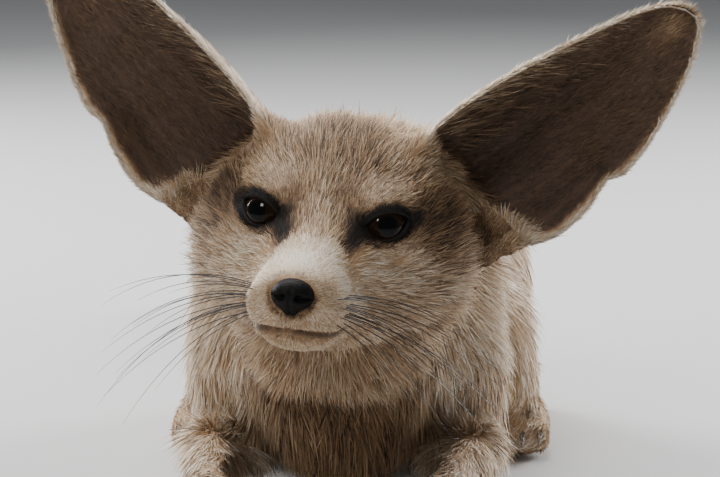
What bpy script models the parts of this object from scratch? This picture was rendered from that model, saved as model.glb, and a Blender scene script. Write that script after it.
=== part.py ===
"""A fennec fox lying on its chest with its head up, life size, parted into named solids.

Sizes below are in millimetres and become metres through MM. The fox faces -Y, its left side is +X,
and the floor that it lies on is Z = 0. The head has a frame of its own, with its origin midway
between the eyeballs, x to the fox's left, y towards the nape and z up.
"""

import math
import random

import bmesh
import bpy
from mathutils import Matrix, Vector
from mathutils.bvhtree import BVHTree

MM = 0.001
GAP = 0.3  # between touching pieces

# The head's place and turn
EYE_HEIGHT = 100.0
HEAD_YAW = -4.7  # degrees, towards the fox's right
HEAD_PITCH = -6.2  # degrees, nose up
HEAD_ROLL = 5.5  # degrees, left ear down

# The head
EYE_HALF_SPACING = 17.4
EYE_RADIUS = 8.0
LID_THICKNESS = 1.4
MOUTH_GROOVE = 0.8
EYE_OPENING = (15.4, 9.6)  # width and height between the lids
EYE_SLANT = 21.0  # degrees, outer corner up
GAZE_OUT = 20.0  # degrees from straight ahead
GAZE_UP = 4.0
NOSE_CENTRE = Vector((0, -44.8, -21.0))
NOSE_RADII = (6.5, 5.6, 4.9)

# The ears
EAR_ROOT = Vector((35, 20, 10))  # the left one's, in the head's frame
EAR_RISE = 49.0  # degrees above level
EAR_TURN = 25.0  # degrees that the cup opens outwards
EAR_LEAN = 4.0  # degrees back from upright
EAR_THICKNESS = 2.6
EAR_PART_HEIGHT = 7.0  # where the ear's node starts, up its own axis

# The tail
TAIL_ROOT = (256.0, 284.0)  # where its first node starts and ends, behind the eyes

# Locks of fur
TAIL_RINGS = 9
TAIL_LOCKS_PER_RING = 6
TAIL_LOCK_REACH = 54.0  # along the tail, from root to tip
TAIL_CORE_SHARE = 0.5  # of the brush's own radius

# The trunk and limbs
HIND_PAW = (53, 139)  # where the middle toes are rooted
TOE_SPREAD = 5.6
CLAW_LENGTH = 8.5

# Fineness
FLESH_VOXEL = 1.5
TRUNK_TRIANGLES = 2200
FACE_TRIANGLES = 2300
FACE_END = 38.0  # how far behind the eyes the finer triangles reach

FUR_COLOUR = (0.66, 0.52, 0.37)
FUR_ROUGHNESS = 0.85


def clear_scene():
    for obj in list(bpy.data.objects):
        bpy.data.objects.remove(obj)


def head_frame():
    """The head frame's matrix, in millimetres."""
    return (
        Matrix.Translation((0, 0, EYE_HEIGHT))
        @ Matrix.Rotation(math.radians(HEAD_YAW), 4, "Z")
        @ Matrix.Rotation(math.radians(HEAD_PITCH), 4, "X")
        @ Matrix.Rotation(math.radians(HEAD_ROLL), 4, "Y")
    )


HEAD = head_frame()


def new_object(name, bm, matrix=None):
    """An object from a bmesh in millimetres, placed by matrix, with its faces pointing out."""
    bmesh.ops.transform(bm, matrix=Matrix.Scale(MM, 4) @ (matrix or Matrix()), verts=bm.verts)
    bmesh.ops.recalc_face_normals(bm, faces=bm.faces)
    mesh = bpy.data.meshes.new(name)
    bm.to_mesh(mesh)
    bm.free()
    obj = bpy.data.objects.new(name, mesh)
    bpy.context.collection.objects.link(obj)
    return obj


def ellipsoid(centre, radii, turn=(0, 0, 0), frame=None, segments=32):
    """An ellipsoid; turn is degrees about X, Y and Z."""
    bm = bmesh.new()
    bmesh.ops.create_uvsphere(bm, u_segments=segments, v_segments=segments // 2, radius=1)
    spin = Matrix.Identity(4)
    for axis, angle in zip("XYZ", turn):
        spin = Matrix.Rotation(math.radians(angle), 4, axis) @ spin
    place = Matrix.Translation(centre) @ spin @ Matrix.Diagonal((*radii, 1))
    return new_object("form", bm, (frame or Matrix()) @ place)


def block(low, high, frame=None):
    bm = bmesh.new()
    bmesh.ops.create_cube(bm, size=1)
    low, high = Vector(low), Vector(high)
    place = Matrix.Translation((low + high) / 2) @ Matrix.Diagonal((*(high - low), 1))
    return new_object("cutter", bm, (frame or Matrix()) @ place)


def spline(values, t):
    """Catmull-Rom through a list of numbers or vectors, at t from 0 to 1."""
    place = min(max(t, 0), 1) * (len(values) - 1)
    k = min(int(place), len(values) - 2)
    f = place - k
    a, b, c, d = (values[min(max(k + i, 0), len(values) - 1)] for i in (-1, 0, 1, 2))
    return (b * 2 + (c - a) * f + (a * 2 - b * 5 + c * 4 - d) * f**2 + (b * 3 - a - c * 3 + d) * f**3) / 2


def loft(outlines, frame=None):
    """A closed tube through rings of points that have the same count."""
    bm = bmesh.new()
    loops = [[bm.verts.new(point) for point in outline] for outline in outlines]
    for one, two in zip(loops, loops[1:]):
        for j in range(len(one)):
            k = (j + 1) % len(one)
            bm.faces.new((one[j], one[k], two[k], two[j]))
    bm.faces.new(loops[0][::-1])
    bm.faces.new(loops[-1])
    return new_object("form", bm, frame)


def limb(stations, frame=None, sides=24, steps=6):
    """A rounded tube through stations (x, y, z, half width, half height), its ends closed by domes."""
    centres = [Vector(s[:3]) for s in stations]
    wide = [s[3] for s in stations]
    high = [s[4] for s in stations]
    count = steps * (len(stations) - 1)
    rings = []
    for i in range(count + 1):
        t = i / count
        here = spline(centres, t)
        along = (spline(centres, t + 0.01) - spline(centres, t - 0.01)).normalized()
        rings.append((here, along, spline(wide, t), spline(high, t)))
    first, last = rings[0], rings[-1]
    dome = [(0.38, 0.92), (0.71, 0.7), (0.92, 0.38)]
    head = [(first[0] - first[1] * first[3] * a, first[1], first[2] * b, first[3] * b) for a, b in reversed(dome)]
    tail = [(last[0] + last[1] * last[3] * a, last[1], last[2] * b, last[3] * b) for a, b in dome]
    rings = head + rings + tail
    outlines = []
    for here, along, w, h in rings:
        side = along.cross(Vector((0, 0, 1)))
        if side.length < 0.2:
            side = Vector((1, 0, 0))
        side.normalize()
        up = side.cross(along).normalized()
        turns = [2 * math.pi * j / sides for j in range(sides)]
        outlines.append([here + side * w * math.cos(a) + up * h * math.sin(a) for a in turns])
    return loft(outlines, frame)


def applied(obj):
    """Replaces an object's mesh by its evaluated one and clears its modifiers."""
    graph = bpy.context.evaluated_depsgraph_get()
    mesh = bpy.data.meshes.new_from_object(obj.evaluated_get(graph))
    obj.modifiers.clear()
    obj.data = mesh
    return obj


def discard(*objs):
    for obj in objs:
        bpy.data.objects.remove(obj)


def boolean(obj, operation, *tools, solver="EXACT"):
    """Applies one Boolean against a collection of closed mesh tools, and removes the tools."""
    group = bpy.data.collections.new("tools")
    for tool in tools:
        group.objects.link(tool)
    cut = obj.modifiers.new("cut", "BOOLEAN")
    cut.operation = operation
    cut.operand_type = "COLLECTION"
    cut.collection = group
    cut.solver = solver
    applied(obj)
    discard(*tools)
    bpy.data.collections.remove(group)
    return keep_largest(obj)


def islands(bm):
    seen, found = set(), []
    for start in bm.verts:
        if start in seen:
            continue
        stack, group = [start], []
        seen.add(start)
        while stack:
            vert = stack.pop()
            group.append(vert)
            for edge in vert.link_edges:
                other = edge.other_vert(vert)
                if other not in seen:
                    seen.add(other)
                    stack.append(other)
        found.append(group)
    return found


def keep_largest(obj):
    """Drops every loose scrap and sealed hollow, leaving the largest closed surface."""
    bm = bmesh.new()
    bm.from_mesh(obj.data)
    groups = islands(bm)
    if len(groups) > 1:
        largest = max(groups, key=len)
        bmesh.ops.delete(bm, geom=[v for g in groups if g is not largest for v in g], context="VERTS")
        bm.to_mesh(obj.data)
    bm.free()
    return obj


def joined(name, objs):
    """One object that holds the meshes of several, not yet fused."""
    bm = bmesh.new()
    for obj in objs:
        bm.from_mesh(obj.data)
    mesh = bpy.data.meshes.new(name)
    bm.to_mesh(mesh)
    bm.free()
    discard(*objs)
    obj = bpy.data.objects.new(name, mesh)
    bpy.context.collection.objects.link(obj)
    return obj


def both_sides(make):
    """Calls make with 1 for the fox's left and -1 for its right, and lists what it gives."""
    return [form for side in (1, -1) for form in make(side)]


# Cross sections of the head: y, top, bottom, half width, height of the widest place, and how full
# the outline is above and below it (2 is an ellipse, more is squarer)
HEAD_STATIONS = [
    (-46.5, -18.5, -27.5, 4.6, -22.5, 2.0, 2.0),
    (-44.5, -15.2, -33.0, 9.4, -23.0, 2.1, 2.1),
    (-40.0, -12.8, -36.6, 13.4, -24.0, 2.1, 2.1),
    (-33.0, -10.2, -38.2, 14.8, -24.0, 2.1, 2.2),
    (-25.0, -6.6, -38.6, 15.6, -24.0, 2.0, 2.2),
    (-17.0, -2.4, -39.0, 18.4, -23.5, 1.8, 2.1),
    (-10.0, 3.6, -39.2, 24.6, -21.0, 1.8, 2.1),
    (-3.0, 12.6, -39.0, 31.6, -17.0, 2.0, 2.1),
    (5.0, 22.0, -38.2, 38.0, -12.5, 2.1, 2.1),
    (14.0, 29.2, -36.4, 41.0, -8.5, 2.05, 2.1),
    (25.0, 32.0, -33.0, 40.8, -6.0, 2.05, 2.1),
    (36.0, 30.0, -28.5, 37.6, -3.5, 2.1, 2.0),
    (46.0, 24.0, -22.0, 30.0, -1.0, 2.0, 2.0),
    (54.0, 14.0, -12.0, 18.0, 1.0, 2.0, 2.0),
]


def head_section(y, top, bottom, half_width, middle, above, below, sides=40):
    """One ring of the head, from two half superellipses that meet at the widest place."""
    ring = []
    for j in range(sides):
        angle = 2 * math.pi * j / sides
        c, s = math.cos(angle), math.sin(angle)
        fullness = above if s >= 0 else below
        height = top - middle if s >= 0 else middle - bottom
        x = half_width * math.copysign(abs(c) ** (2 / fullness), c)
        z = middle + height * math.copysign(abs(s) ** (2 / fullness), s)
        ring.append(Vector((x, y, z)))
    return ring


def head_forms():
    """The head with its muzzle, brows, cheeks, whisker pads and the mounds behind the ears."""
    count = 52
    columns = list(zip(*HEAD_STATIONS))
    rings = [head_section(*(spline(column, i / count) for column in columns)) for i in range(count + 1)]

    def side_forms(side):
        return [
            ellipsoid((side * 7.6, -36.5, -24.0), (7.6, 8.6, 7.2), (0, 0, side * 14), HEAD),
            ellipsoid((side * 17.0, -0.6, 7.8), (11.5, 7.4, 4.4), (0, side * -17, side * 20), HEAD),
            ellipsoid((side * 20, 3, -12), (13.5, 10.5, 9.0), (0, side * -12, side * -22), HEAD),
            ellipsoid((side * 28, 21, -14), (14.0, 20, 19), (0, side * 10, side * -12), HEAD),
            ellipsoid((2, 27, -8), (17, 9, 19), (0, 0, 0), ear_frame(side)),
        ]

    chin = ellipsoid((0, -33, -31.5), (8.6, 9.5, 5.8), (-6, 0, 0), HEAD)
    return [loft(rings, HEAD), chin] + both_sides(side_forms)


def trunk_forms():
    """The neck and trunk, from the nape to the rump."""
    spine = [
        (0, 44, 66, 34, 38),
        (0, 66, 65, 44, 60),
        (0, 92, 65, 48, 67),
        (0, 126, 62, 50, 66),
        (0, 162, 59, 51, 63),
        (0, 196, 56, 49, 57),
        (0, 216, 53, 41, 46),
        (0, 240, 48, 24, 27),
    ]
    tail_head = [
        (0, 226, 52, 21, 23),
        (-0.5, 242, 44, 18, 18.5),
        (-1.5, 258, 35, 14.5, 14.5),
        (-2.5, 268, 31, 11, 11),
    ]
    neck = [
        (0, 26, 96, 30, 28),
        (0, 46, 94, 34, 33),
        (0, 66, 90, 39, 37),
        (0, 92, 82, 42, 40),
    ]
    return [
        limb(spine),
        limb(tail_head),
        limb(neck),
        ellipsoid((0, 50, 44), (30, 24, 36), (-12, 0, 0)),
    ]


def foreleg_forms(side):
    reach = -4 if side > 0 else 2
    arm = [
        (side * 33, 66, 82, 13, 24),
        (side * 38, 72, 62, 15, 22),
        (side * 42, 84, 40, 14, 18),
        (side * 43, 92, 22, 12, 13),
    ]
    forearm = [
        (side * 43, 90, 17, 13, 13),
        (side * 42, 62 + reach / 2, 16, 12, 12.5),
        (side * 39, 34 + reach, 14, 10, 10.5),
        (side * 37, 14 + reach, 12, 9.5, 10),
        (side * 36, -4 + reach, 11, 11.5, 10.5),
    ]
    return [limb(arm), limb(forearm), *paw_forms(side * 36, -18 + reach)]


def hindleg_forms(side):
    shank = [
        (side * 49, 140, 28, 12, 16),
        (side * 48, 172, 22, 11.5, 15),
        (side * 48, 204, 16, 10, 12),
        (side * 49, 224, 12, 9, 10),
    ]
    foot = [
        (side * 50, 224, 9, 9, 9),
        (side * 51, 198, 7, 7.5, 7),
        (side * 52.5, 168, 7.5, 8.5, 7.5),
        (side * 53, 153, 9, 11, 9),
    ]
    return [
        ellipsoid((side * 38, 194, 54), (21, 46, 45), (14, 0, side * 5)),
        ellipsoid((side * 47, 152, 37), (15, 27, 27), (-22, 0, side * 4)),
        limb(shank),
        limb(foot),
        *paw_forms(side * HIND_PAW[0], HIND_PAW[1]),
    ]


def toe_places(x, y):
    """The middle of each of a paw's toes, from inside to outside, and how far it reaches."""
    return [
        (x + (i - 1.5) * TOE_SPREAD, y - (3.2 if i in (1, 2) else 0), 8.0 - (0.6 if i in (0, 3) else 0))
        for i in range(4)
    ]


def paw_forms(x, y):
    pad = ellipsoid((x, y + 10, 9.5), (12, 14, 10), (4, 0, 0))
    return [pad] + [ellipsoid((tx, ty, 7.6), (4.1, length + 1.5, 7.2), (6, 0, 0)) for tx, ty, length in toe_places(x, y)]


TAIL_PATH = [
    (0, 226, 52, 13),
    (-1, 252, 37, 13.5),
    (-5, 284, 25.5, 16.5),
    (-15, 326, 22.5, 21),
    (-28, 362, 22.5, 23),
    (-42, 398, 21.5, 22),
    (-54, 430, 17, 17),
    (-61, 452, 11, 9),
    (-64, 462, 8, 3.5),
]


def tail_forms():
    """The tail's core, as thick as its root where it leaves the rump and thin inside the brush."""
    core = []
    for i, (x, y, z, r) in enumerate(TAIL_PATH[:-1]):
        share = 1 + (TAIL_CORE_SHARE - 1) * min(max((i - 1) / 2, 0), 1)
        core.append((x, y, z, r * share, r * share))
    return [limb(core)]


def lock(root, bend, tip, out, width, thickness, steps=3):
    """A flat, tapering lock of fur along a bent line, three-sided, with its ridge facing out."""
    rings = []
    for i in range(steps):
        t = i / steps
        here = root * (1 - t) ** 2 + bend * 2 * t * (1 - t) + tip * t * t
        along = ((bend - root) * (1 - t) + (tip - bend) * t).normalized()
        side = along.cross(out).normalized()
        ridge = side.cross(along)
        half = width / 2 * (0.7 + 0.95 * t - 1.35 * t * t)
        high = thickness * (1 - 0.75 * t)
        rings.append([here - side * half, here + ridge * high, here + side * half])
    bm = bmesh.new()
    loops = [[bm.verts.new(point) for point in ring] for ring in rings]
    end = bm.verts.new(tip)
    bm.faces.new(loops[0][::-1])
    for one, two in zip(loops, loops[1:]):
        for j in range(3):
            k = (j + 1) % 3
            bm.faces.new((one[j], one[k], two[k], two[j]))
    for j in range(3):
        bm.faces.new((loops[-1][j], loops[-1][(j + 1) % 3], end))
    bmesh.ops.triangulate(bm, faces=bm.faces)
    return new_object("lock", bm)


def tail_locks():
    """Locks in staggered rings along the tail, lying back over each other to the brush's outline."""
    chance = random.Random(5)
    centres = [Vector(place[:3]) for place in TAIL_PATH]
    radii = [place[3] for place in TAIL_PATH]
    length = sum((b - a).length for a, b in zip(centres, centres[1:]))
    reach = TAIL_LOCK_REACH / length
    locks = []
    for k in range(TAIL_RINGS):
        t = 0.2 + (0.86 - 0.2) * k / (TAIL_RINGS - 1)
        start = spline(centres, t)
        along = (spline(centres, t + 0.02) - spline(centres, t - 0.02)).normalized()
        side = along.cross(Vector((0, 0, 1))).normalized()
        up = side.cross(along)
        for j in range(TAIL_LOCKS_PER_RING):
            angle = 2 * math.pi * (j + 0.5 * (k % 2) + chance.uniform(-0.16, 0.16)) / TAIL_LOCKS_PER_RING
            out = side * math.cos(angle) + up * math.sin(angle)
            end = min(t + reach * chance.uniform(0.9, 1.12), 1)
            core = spline(radii, t) * TAIL_CORE_SHARE
            root = start + out * (core - 3.2)
            tip = spline(centres, end) + out * spline(radii, end) * chance.uniform(0.94, 1.04)
            tip += side * chance.uniform(-2, 2)
            bend = root.lerp(tip, 0.45) + out * (0.3 * (spline(radii, end) - core) + 1.5)
            width = spline(radii, t) * 0.74 + 1.5
            locks.append(lock(root, bend, tip, out, width, 3.0))
    return locks


def thinned(body, triangles, inside):
    """Collapses only the part whose y passes the test, until it has about that many triangles."""
    group = body.vertex_groups.new(name="part")
    for vert in body.data.vertices:
        group.add([vert.index], 1.0 if inside(vert.co.y) else 0.0, "REPLACE")
    total = sum(len(face.vertices) - 2 for face in body.data.polygons)
    here = sum(len(face.vertices) - 2 for face in body.data.polygons if inside(face.center.y))
    thin = body.modifiers.new("thin", "DECIMATE")
    thin.ratio = (total - here + triangles) / total
    thin.vertex_group = "part"
    thin.vertex_group_factor = 1000
    applied(body)
    body.vertex_groups.clear()


def flesh():
    """Every soft form fused into one skin, smoothed, and thinned to the wanted count."""
    forms = head_forms() + trunk_forms() + tail_forms()
    forms += both_sides(foreleg_forms) + both_sides(hindleg_forms)
    body = joined("flesh", forms)
    remesh = body.modifiers.new("fuse", "REMESH")
    remesh.mode = "VOXEL"
    remesh.voxel_size = FLESH_VOXEL * MM
    applied(body)
    soft = body.vertex_groups.new(name="soft")
    face_end = 0.030
    for vert in body.data.vertices:
        soft.add([vert.index], min(max((vert.co.y - face_end) / 0.03, 0), 1), "REPLACE")
    for name, factor, turns, group in (("blend", 0.5, 5, ""), ("blend_trunk", 0.5, 16, "soft")):
        smooth = body.modifiers.new(name, "SMOOTH")
        smooth.factor = factor
        smooth.iterations = turns
        smooth.vertex_group = group
    applied(body)
    thinned(body, TRUNK_TRIANGLES, lambda y: y > FACE_END * MM)
    thinned(body, FACE_TRIANGLES, lambda y: y <= FACE_END * MM)
    boolean(body, "DIFFERENCE", block((-200, -150, -60), (200, 600, 0)))
    return body


def copy_of(obj, name):
    new = bpy.data.objects.new(name, obj.data.copy())
    bpy.context.collection.objects.link(new)
    return new


def cutting_blocks(boxes, frame, grow=0):
    """One closed cutter from overlapping boxes, each grown on every side."""
    margin = Vector((grow, grow, grow))
    cutters = [block(Vector(low) - margin, Vector(high) + margin, frame) for low, high in boxes]
    if len(cutters) > 1:
        boolean(cutters[0], "UNION", *cutters[1:])
    return cutters[0]


def part_off(body, name, boxes, frame=None):
    """Takes what lies in some boxes out of the body as a node of its own, with the gap between."""
    piece = copy_of(body, name)
    boolean(piece, "INTERSECT", cutting_blocks(boxes, frame), solver="MANIFOLD")
    boolean(body, "DIFFERENCE", cutting_blocks(boxes, frame, GAP), solver="MANIFOLD")
    return piece


def eye_frame(side):
    """The eyeball's frame: -y is the gaze, z up, x towards the fox's left, slanted with the lids."""
    return (
        HEAD
        @ Matrix.Translation((side * EYE_HALF_SPACING, 0, 0))
        @ Matrix.Rotation(math.radians(side * GAZE_OUT), 4, "Z")
        @ Matrix.Rotation(math.radians(-GAZE_UP), 4, "X")
        @ Matrix.Rotation(math.radians(-side * EYE_SLANT), 4, "Y")
    )


def lid_opening(side):
    """An almond prism along the gaze, from inside the eyeball out past the lids."""
    half_width, half_height = EYE_OPENING[0] / 2, EYE_OPENING[1] / 2
    count = 8
    outline = []
    for i in range(count):
        x = math.cos(math.pi * i / count)
        outline.append((x * half_width, half_height * (1 - x * x) ** 0.8))
    for i in range(count):
        x = -math.cos(math.pi * i / count)
        outline.append((x * half_width, -half_height * 0.86 * (1 - x * x) ** 0.8))
    bm = bmesh.new()
    near = [bm.verts.new((x, -1, z)) for x, z in outline]
    far = [bm.verts.new((x * 1.25, -24, z * 1.25)) for x, z in outline]
    for i in range(len(outline)):
        j = (i + 1) % len(outline)
        bm.faces.new((near[i], near[j], far[j], far[i]))
    bm.faces.new(near)
    bm.faces.new(far)
    return new_object("cutter", bm, eye_frame(side))


def make_eye(side, name):
    eye = ellipsoid((0, 0, 0), (EYE_RADIUS,) * 3, (90, 0, 0), eye_frame(side), segments=14)
    eye.name = name
    return eye


def groove(points, radius, sides=5):
    """A thin tube through points on the head's surface, for cutting a line into it."""
    rings = []
    for i, here in enumerate(points):
        along = (points[min(i + 1, len(points) - 1)] - points[max(i - 1, 0)]).normalized()
        side = along.cross(Vector((0, 0, 1))).normalized()
        up = side.cross(along)
        turns = [2 * math.pi * j / sides for j in range(sides)]
        rings.append([here + (side * math.cos(a) + up * math.sin(a)) * radius for a in turns])
    return loft(rings)


def mouth_line(head):
    """Points on the muzzle's surface along the closed lips, from corner to corner."""
    bm = bmesh.new()
    bm.from_mesh(head.data)
    tree = BVHTree.FromBMesh(bm)
    bm.free()
    turn = HEAD.to_3x3()
    points = []
    for degrees in range(-96, 97, 12):
        angle = math.radians(degrees)
        swing = abs(degrees) / 96
        centre = Vector((0, -26 + 7 * swing**2, -31.0 - 0.9 * math.sin(swing * math.pi) + 2.0 * swing**3))
        ray = Vector((math.sin(angle), -math.cos(angle), 0))
        start = HEAD @ (centre + ray * 60) * MM
        hit = tree.ray_cast(start, -(turn @ ray))[0]
        points.append(hit / MM)
    return points


def make_nose(head):
    """The nose pad with its nostrils, and its seat cut into the muzzle."""
    forms = [
        ellipsoid(NOSE_CENTRE, NOSE_RADII, (0, 0, 0), HEAD, segments=16),
        ellipsoid(NOSE_CENTRE + Vector((0, 1.2, -2.4)), (3.6, 4.6, 4.4), (0, 0, 0), HEAD, segments=12),
    ]
    seat_forms = [
        ellipsoid(NOSE_CENTRE, [r + GAP for r in NOSE_RADII], (0, 0, 0), HEAD, segments=16),
        ellipsoid(
            NOSE_CENTRE + Vector((0, 1.2, -2.4)), (3.6 + GAP, 4.6 + GAP, 4.4 + GAP), (0, 0, 0), HEAD, segments=12
        ),
    ]
    boolean(head, "DIFFERENCE", *seat_forms, solver="MANIFOLD")
    nose = forms[0]
    nose.name = "nose"
    boolean(nose, "UNION", forms[1])
    nostrils = [
        ellipsoid((side * 3.3, -49.8, -21.5), (1.5, 2.6, 1.7), (0, side * 25, side * -18), HEAD, segments=8)
        for side in (1, -1)
    ]
    slits = [
        ellipsoid((side * 5.6, -47.8, -22.6), (2.2, 2.2, 0.7), (0, side * 18, side * 25), HEAD, segments=8)
        for side in (1, -1)
    ]
    boolean(nose, "DIFFERENCE", *nostrils, *slits)
    return nose


# Pairs of points on the ear's front and rear edges, as (across, up) from its root, base to tip
EAR_EDGES = [
    ((-20.9, -9.0), (21.5, -9.0)),
    ((-21.4, 0.0), (23.5, 0.0)),
    ((-21.4, 9.0), (29.0, 8.5)),
    ((-20.8, 18.0), (32.4, 17.0)),
    ((-19.4, 28.0), (32.2, 28.5)),
    ((-17.6, 37.0), (29.8, 37.5)),
    ((-15.3, 46.0), (31.6, 44.0)),
    ((-12.8, 55.0), (30.4, 53.0)),
    ((-10.2, 63.5), (27.8, 62.0)),
    ((-7.4, 72.0), (24.6, 70.5)),
    ((-4.2, 80.0), (21.0, 78.5)),
    ((-0.4, 86.6), (17.4, 85.0)),
    ((4.2, 90.4), (13.8, 89.4)),
    ((7.8, 91.8), (10.8, 91.5)),
]
EAR_CUP = [21, 20, 18.5, 17, 15.5, 13.5, 11.5, 9.5, 8, 6.5, 5, 3.6, 2, 0.8]  # depth at each pair


def ear_frame(side):
    """The ear's frame: x from its front edge to its rear edge, y to its back, z up to its tip."""
    return (
        HEAD
        @ Matrix.Diagonal((side, 1, 1, 1))
        @ Matrix.Translation(EAR_ROOT)
        @ Matrix.Rotation(math.radians(90 - EAR_RISE), 4, "Y")
        @ Matrix.Rotation(math.radians(-EAR_LEAN), 4, "X")
        @ Matrix.Rotation(math.radians(EAR_TURN), 4, "Z")
    )


def ear_point(row, across):
    """A point on the cup's inner face: row from 0 to 1 up the ear, across from 0 to 1."""
    front = spline([Vector((a[0], 0, a[1])) for a, b in EAR_EDGES], row)
    rear = spline([Vector((b[0], 0, b[1])) for a, b in EAR_EDGES], row)
    depth = spline(EAR_CUP, row)
    here = front.lerp(rear, across)
    bowl = (4 * across * (1 - across)) ** 0.75 * (1.18 - 0.36 * across)
    here.y += depth * bowl - 2.5 * (1 - across) ** 3 * (1 - row)
    return here


def ear_shell(side):
    """The ear as a cupped shell with rounded edges, closed at its root."""
    rows, columns = 22, 9
    bm = bmesh.new()
    sheets = []
    for back in (False, True):
        sheet = []
        for i in range(rows + 1):
            row = i / rows
            line = []
            for j in range(columns + 1):
                across = j / columns
                here = ear_point(row, across)
                if back:
                    du = ear_point(row, min(across + 0.02, 1)) - ear_point(row, max(across - 0.02, 0))
                    dv = ear_point(min(row + 0.02, 1), across) - ear_point(max(row - 0.02, 0), across)
                    out = dv.cross(du).normalized()
                    edge = min(1, 4 * min(across, 1 - across, 1 - row) + 0.32)
                    here = here + out * EAR_THICKNESS * edge * (1.25 - 0.45 * row)
                line.append(bm.verts.new(here))
            sheet.append(line)
        sheets.append(sheet)
    front, back = sheets
    for i in range(rows):
        for j in range(columns):
            bm.faces.new((front[i][j], front[i][j + 1], front[i + 1][j + 1], front[i + 1][j]))
            bm.faces.new((back[i][j], back[i + 1][j], back[i + 1][j + 1], back[i][j + 1]))
    rim = [(i, 0) for i in range(rows + 1)] + [(rows, j) for j in range(1, columns + 1)]
    rim += [(i, columns) for i in range(rows - 1, -1, -1)] + [(0, j) for j in range(columns - 1, -1, -1)]
    for (i, j), (k, m) in zip(rim, rim[1:]):
        bm.faces.new((front[i][j], back[i][j], back[k][m], front[k][m]))
    bmesh.ops.triangulate(bm, faces=bm.faces)
    return new_object("ear", bm, ear_frame(side))


def claw_form(x, y, z, extra):
    """A curved, tapering claw that points forwards and down from a toe; extra widens its seat."""
    sides, steps = 6, 4
    rings = []
    for i in range(steps + 1):
        t = i / steps
        width = 1.15 * (1 - t) ** 0.7 + 0.2 + extra
        height = 1.75 * (1 - t) ** 0.7 + 0.2 + extra
        here = Vector((x, y - CLAW_LENGTH * t - (extra if i == steps else 0), z + 1.2 * t - 3.4 * t * t))
        here.y += extra if i == 0 else 0
        turns = [2 * math.pi * j / sides for j in range(sides)]
        rings.append([here + Vector((width * math.cos(a), 0, height * math.sin(a))) for a in turns])
    return loft(rings)


def add_claws(leg, label, x, y):
    """Four claws on one paw, each seated in its toe."""
    claws = []
    seats = []
    for i, (tx, ty, length) in enumerate(toe_places(x, y)):
        claws.append(claw_form(tx, ty - length + 1.2, 8.6, 0))
        claws[-1].name = f"claw_{label}_{i + 1}"
        seats.append(claw_form(tx, ty - length + 1.2, 8.6, GAP))
    boolean(leg, "DIFFERENCE", *seats)
    return claws


def surface(name, colour, roughness):
    material = bpy.data.materials.new(name)
    material.use_nodes = True
    shader = material.node_tree.nodes["Principled BSDF"]
    shader.inputs["Base Color"].default_value = (*colour, 1)
    shader.inputs["Roughness"].default_value = roughness
    shader.inputs["Metallic"].default_value = 0
    return material


def finish_node(obj, colour, roughness=FUR_ROUGHNESS):
    obj.data.materials.clear()
    obj.data.materials.append(surface(obj.name, colour, roughness))
    obj.data.shade_smooth()
    obj.data.set_sharp_from_angle(angle=math.radians(40))


def settle(nodes):
    """Moves everything so that the origin is under the middle of the whole, on the floor."""
    corners = [obj.matrix_world @ v.co for obj in nodes for v in obj.data.vertices]
    low = Vector(min(c[i] for c in corners) for i in range(3))
    high = Vector(max(c[i] for c in corners) for i in range(3))
    shift = Vector((-(low.x + high.x) / 2, -(low.y + high.y) / 2, -low.z))
    for obj in nodes:
        obj.location = obj.location + shift


def side_box(side, inner, outer, front, rear, low, high):
    """A box on one side of the middle, as its two corners."""
    near, far = sorted((side * inner, side * outer))
    return (near, front, low), (far, rear, high)


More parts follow.
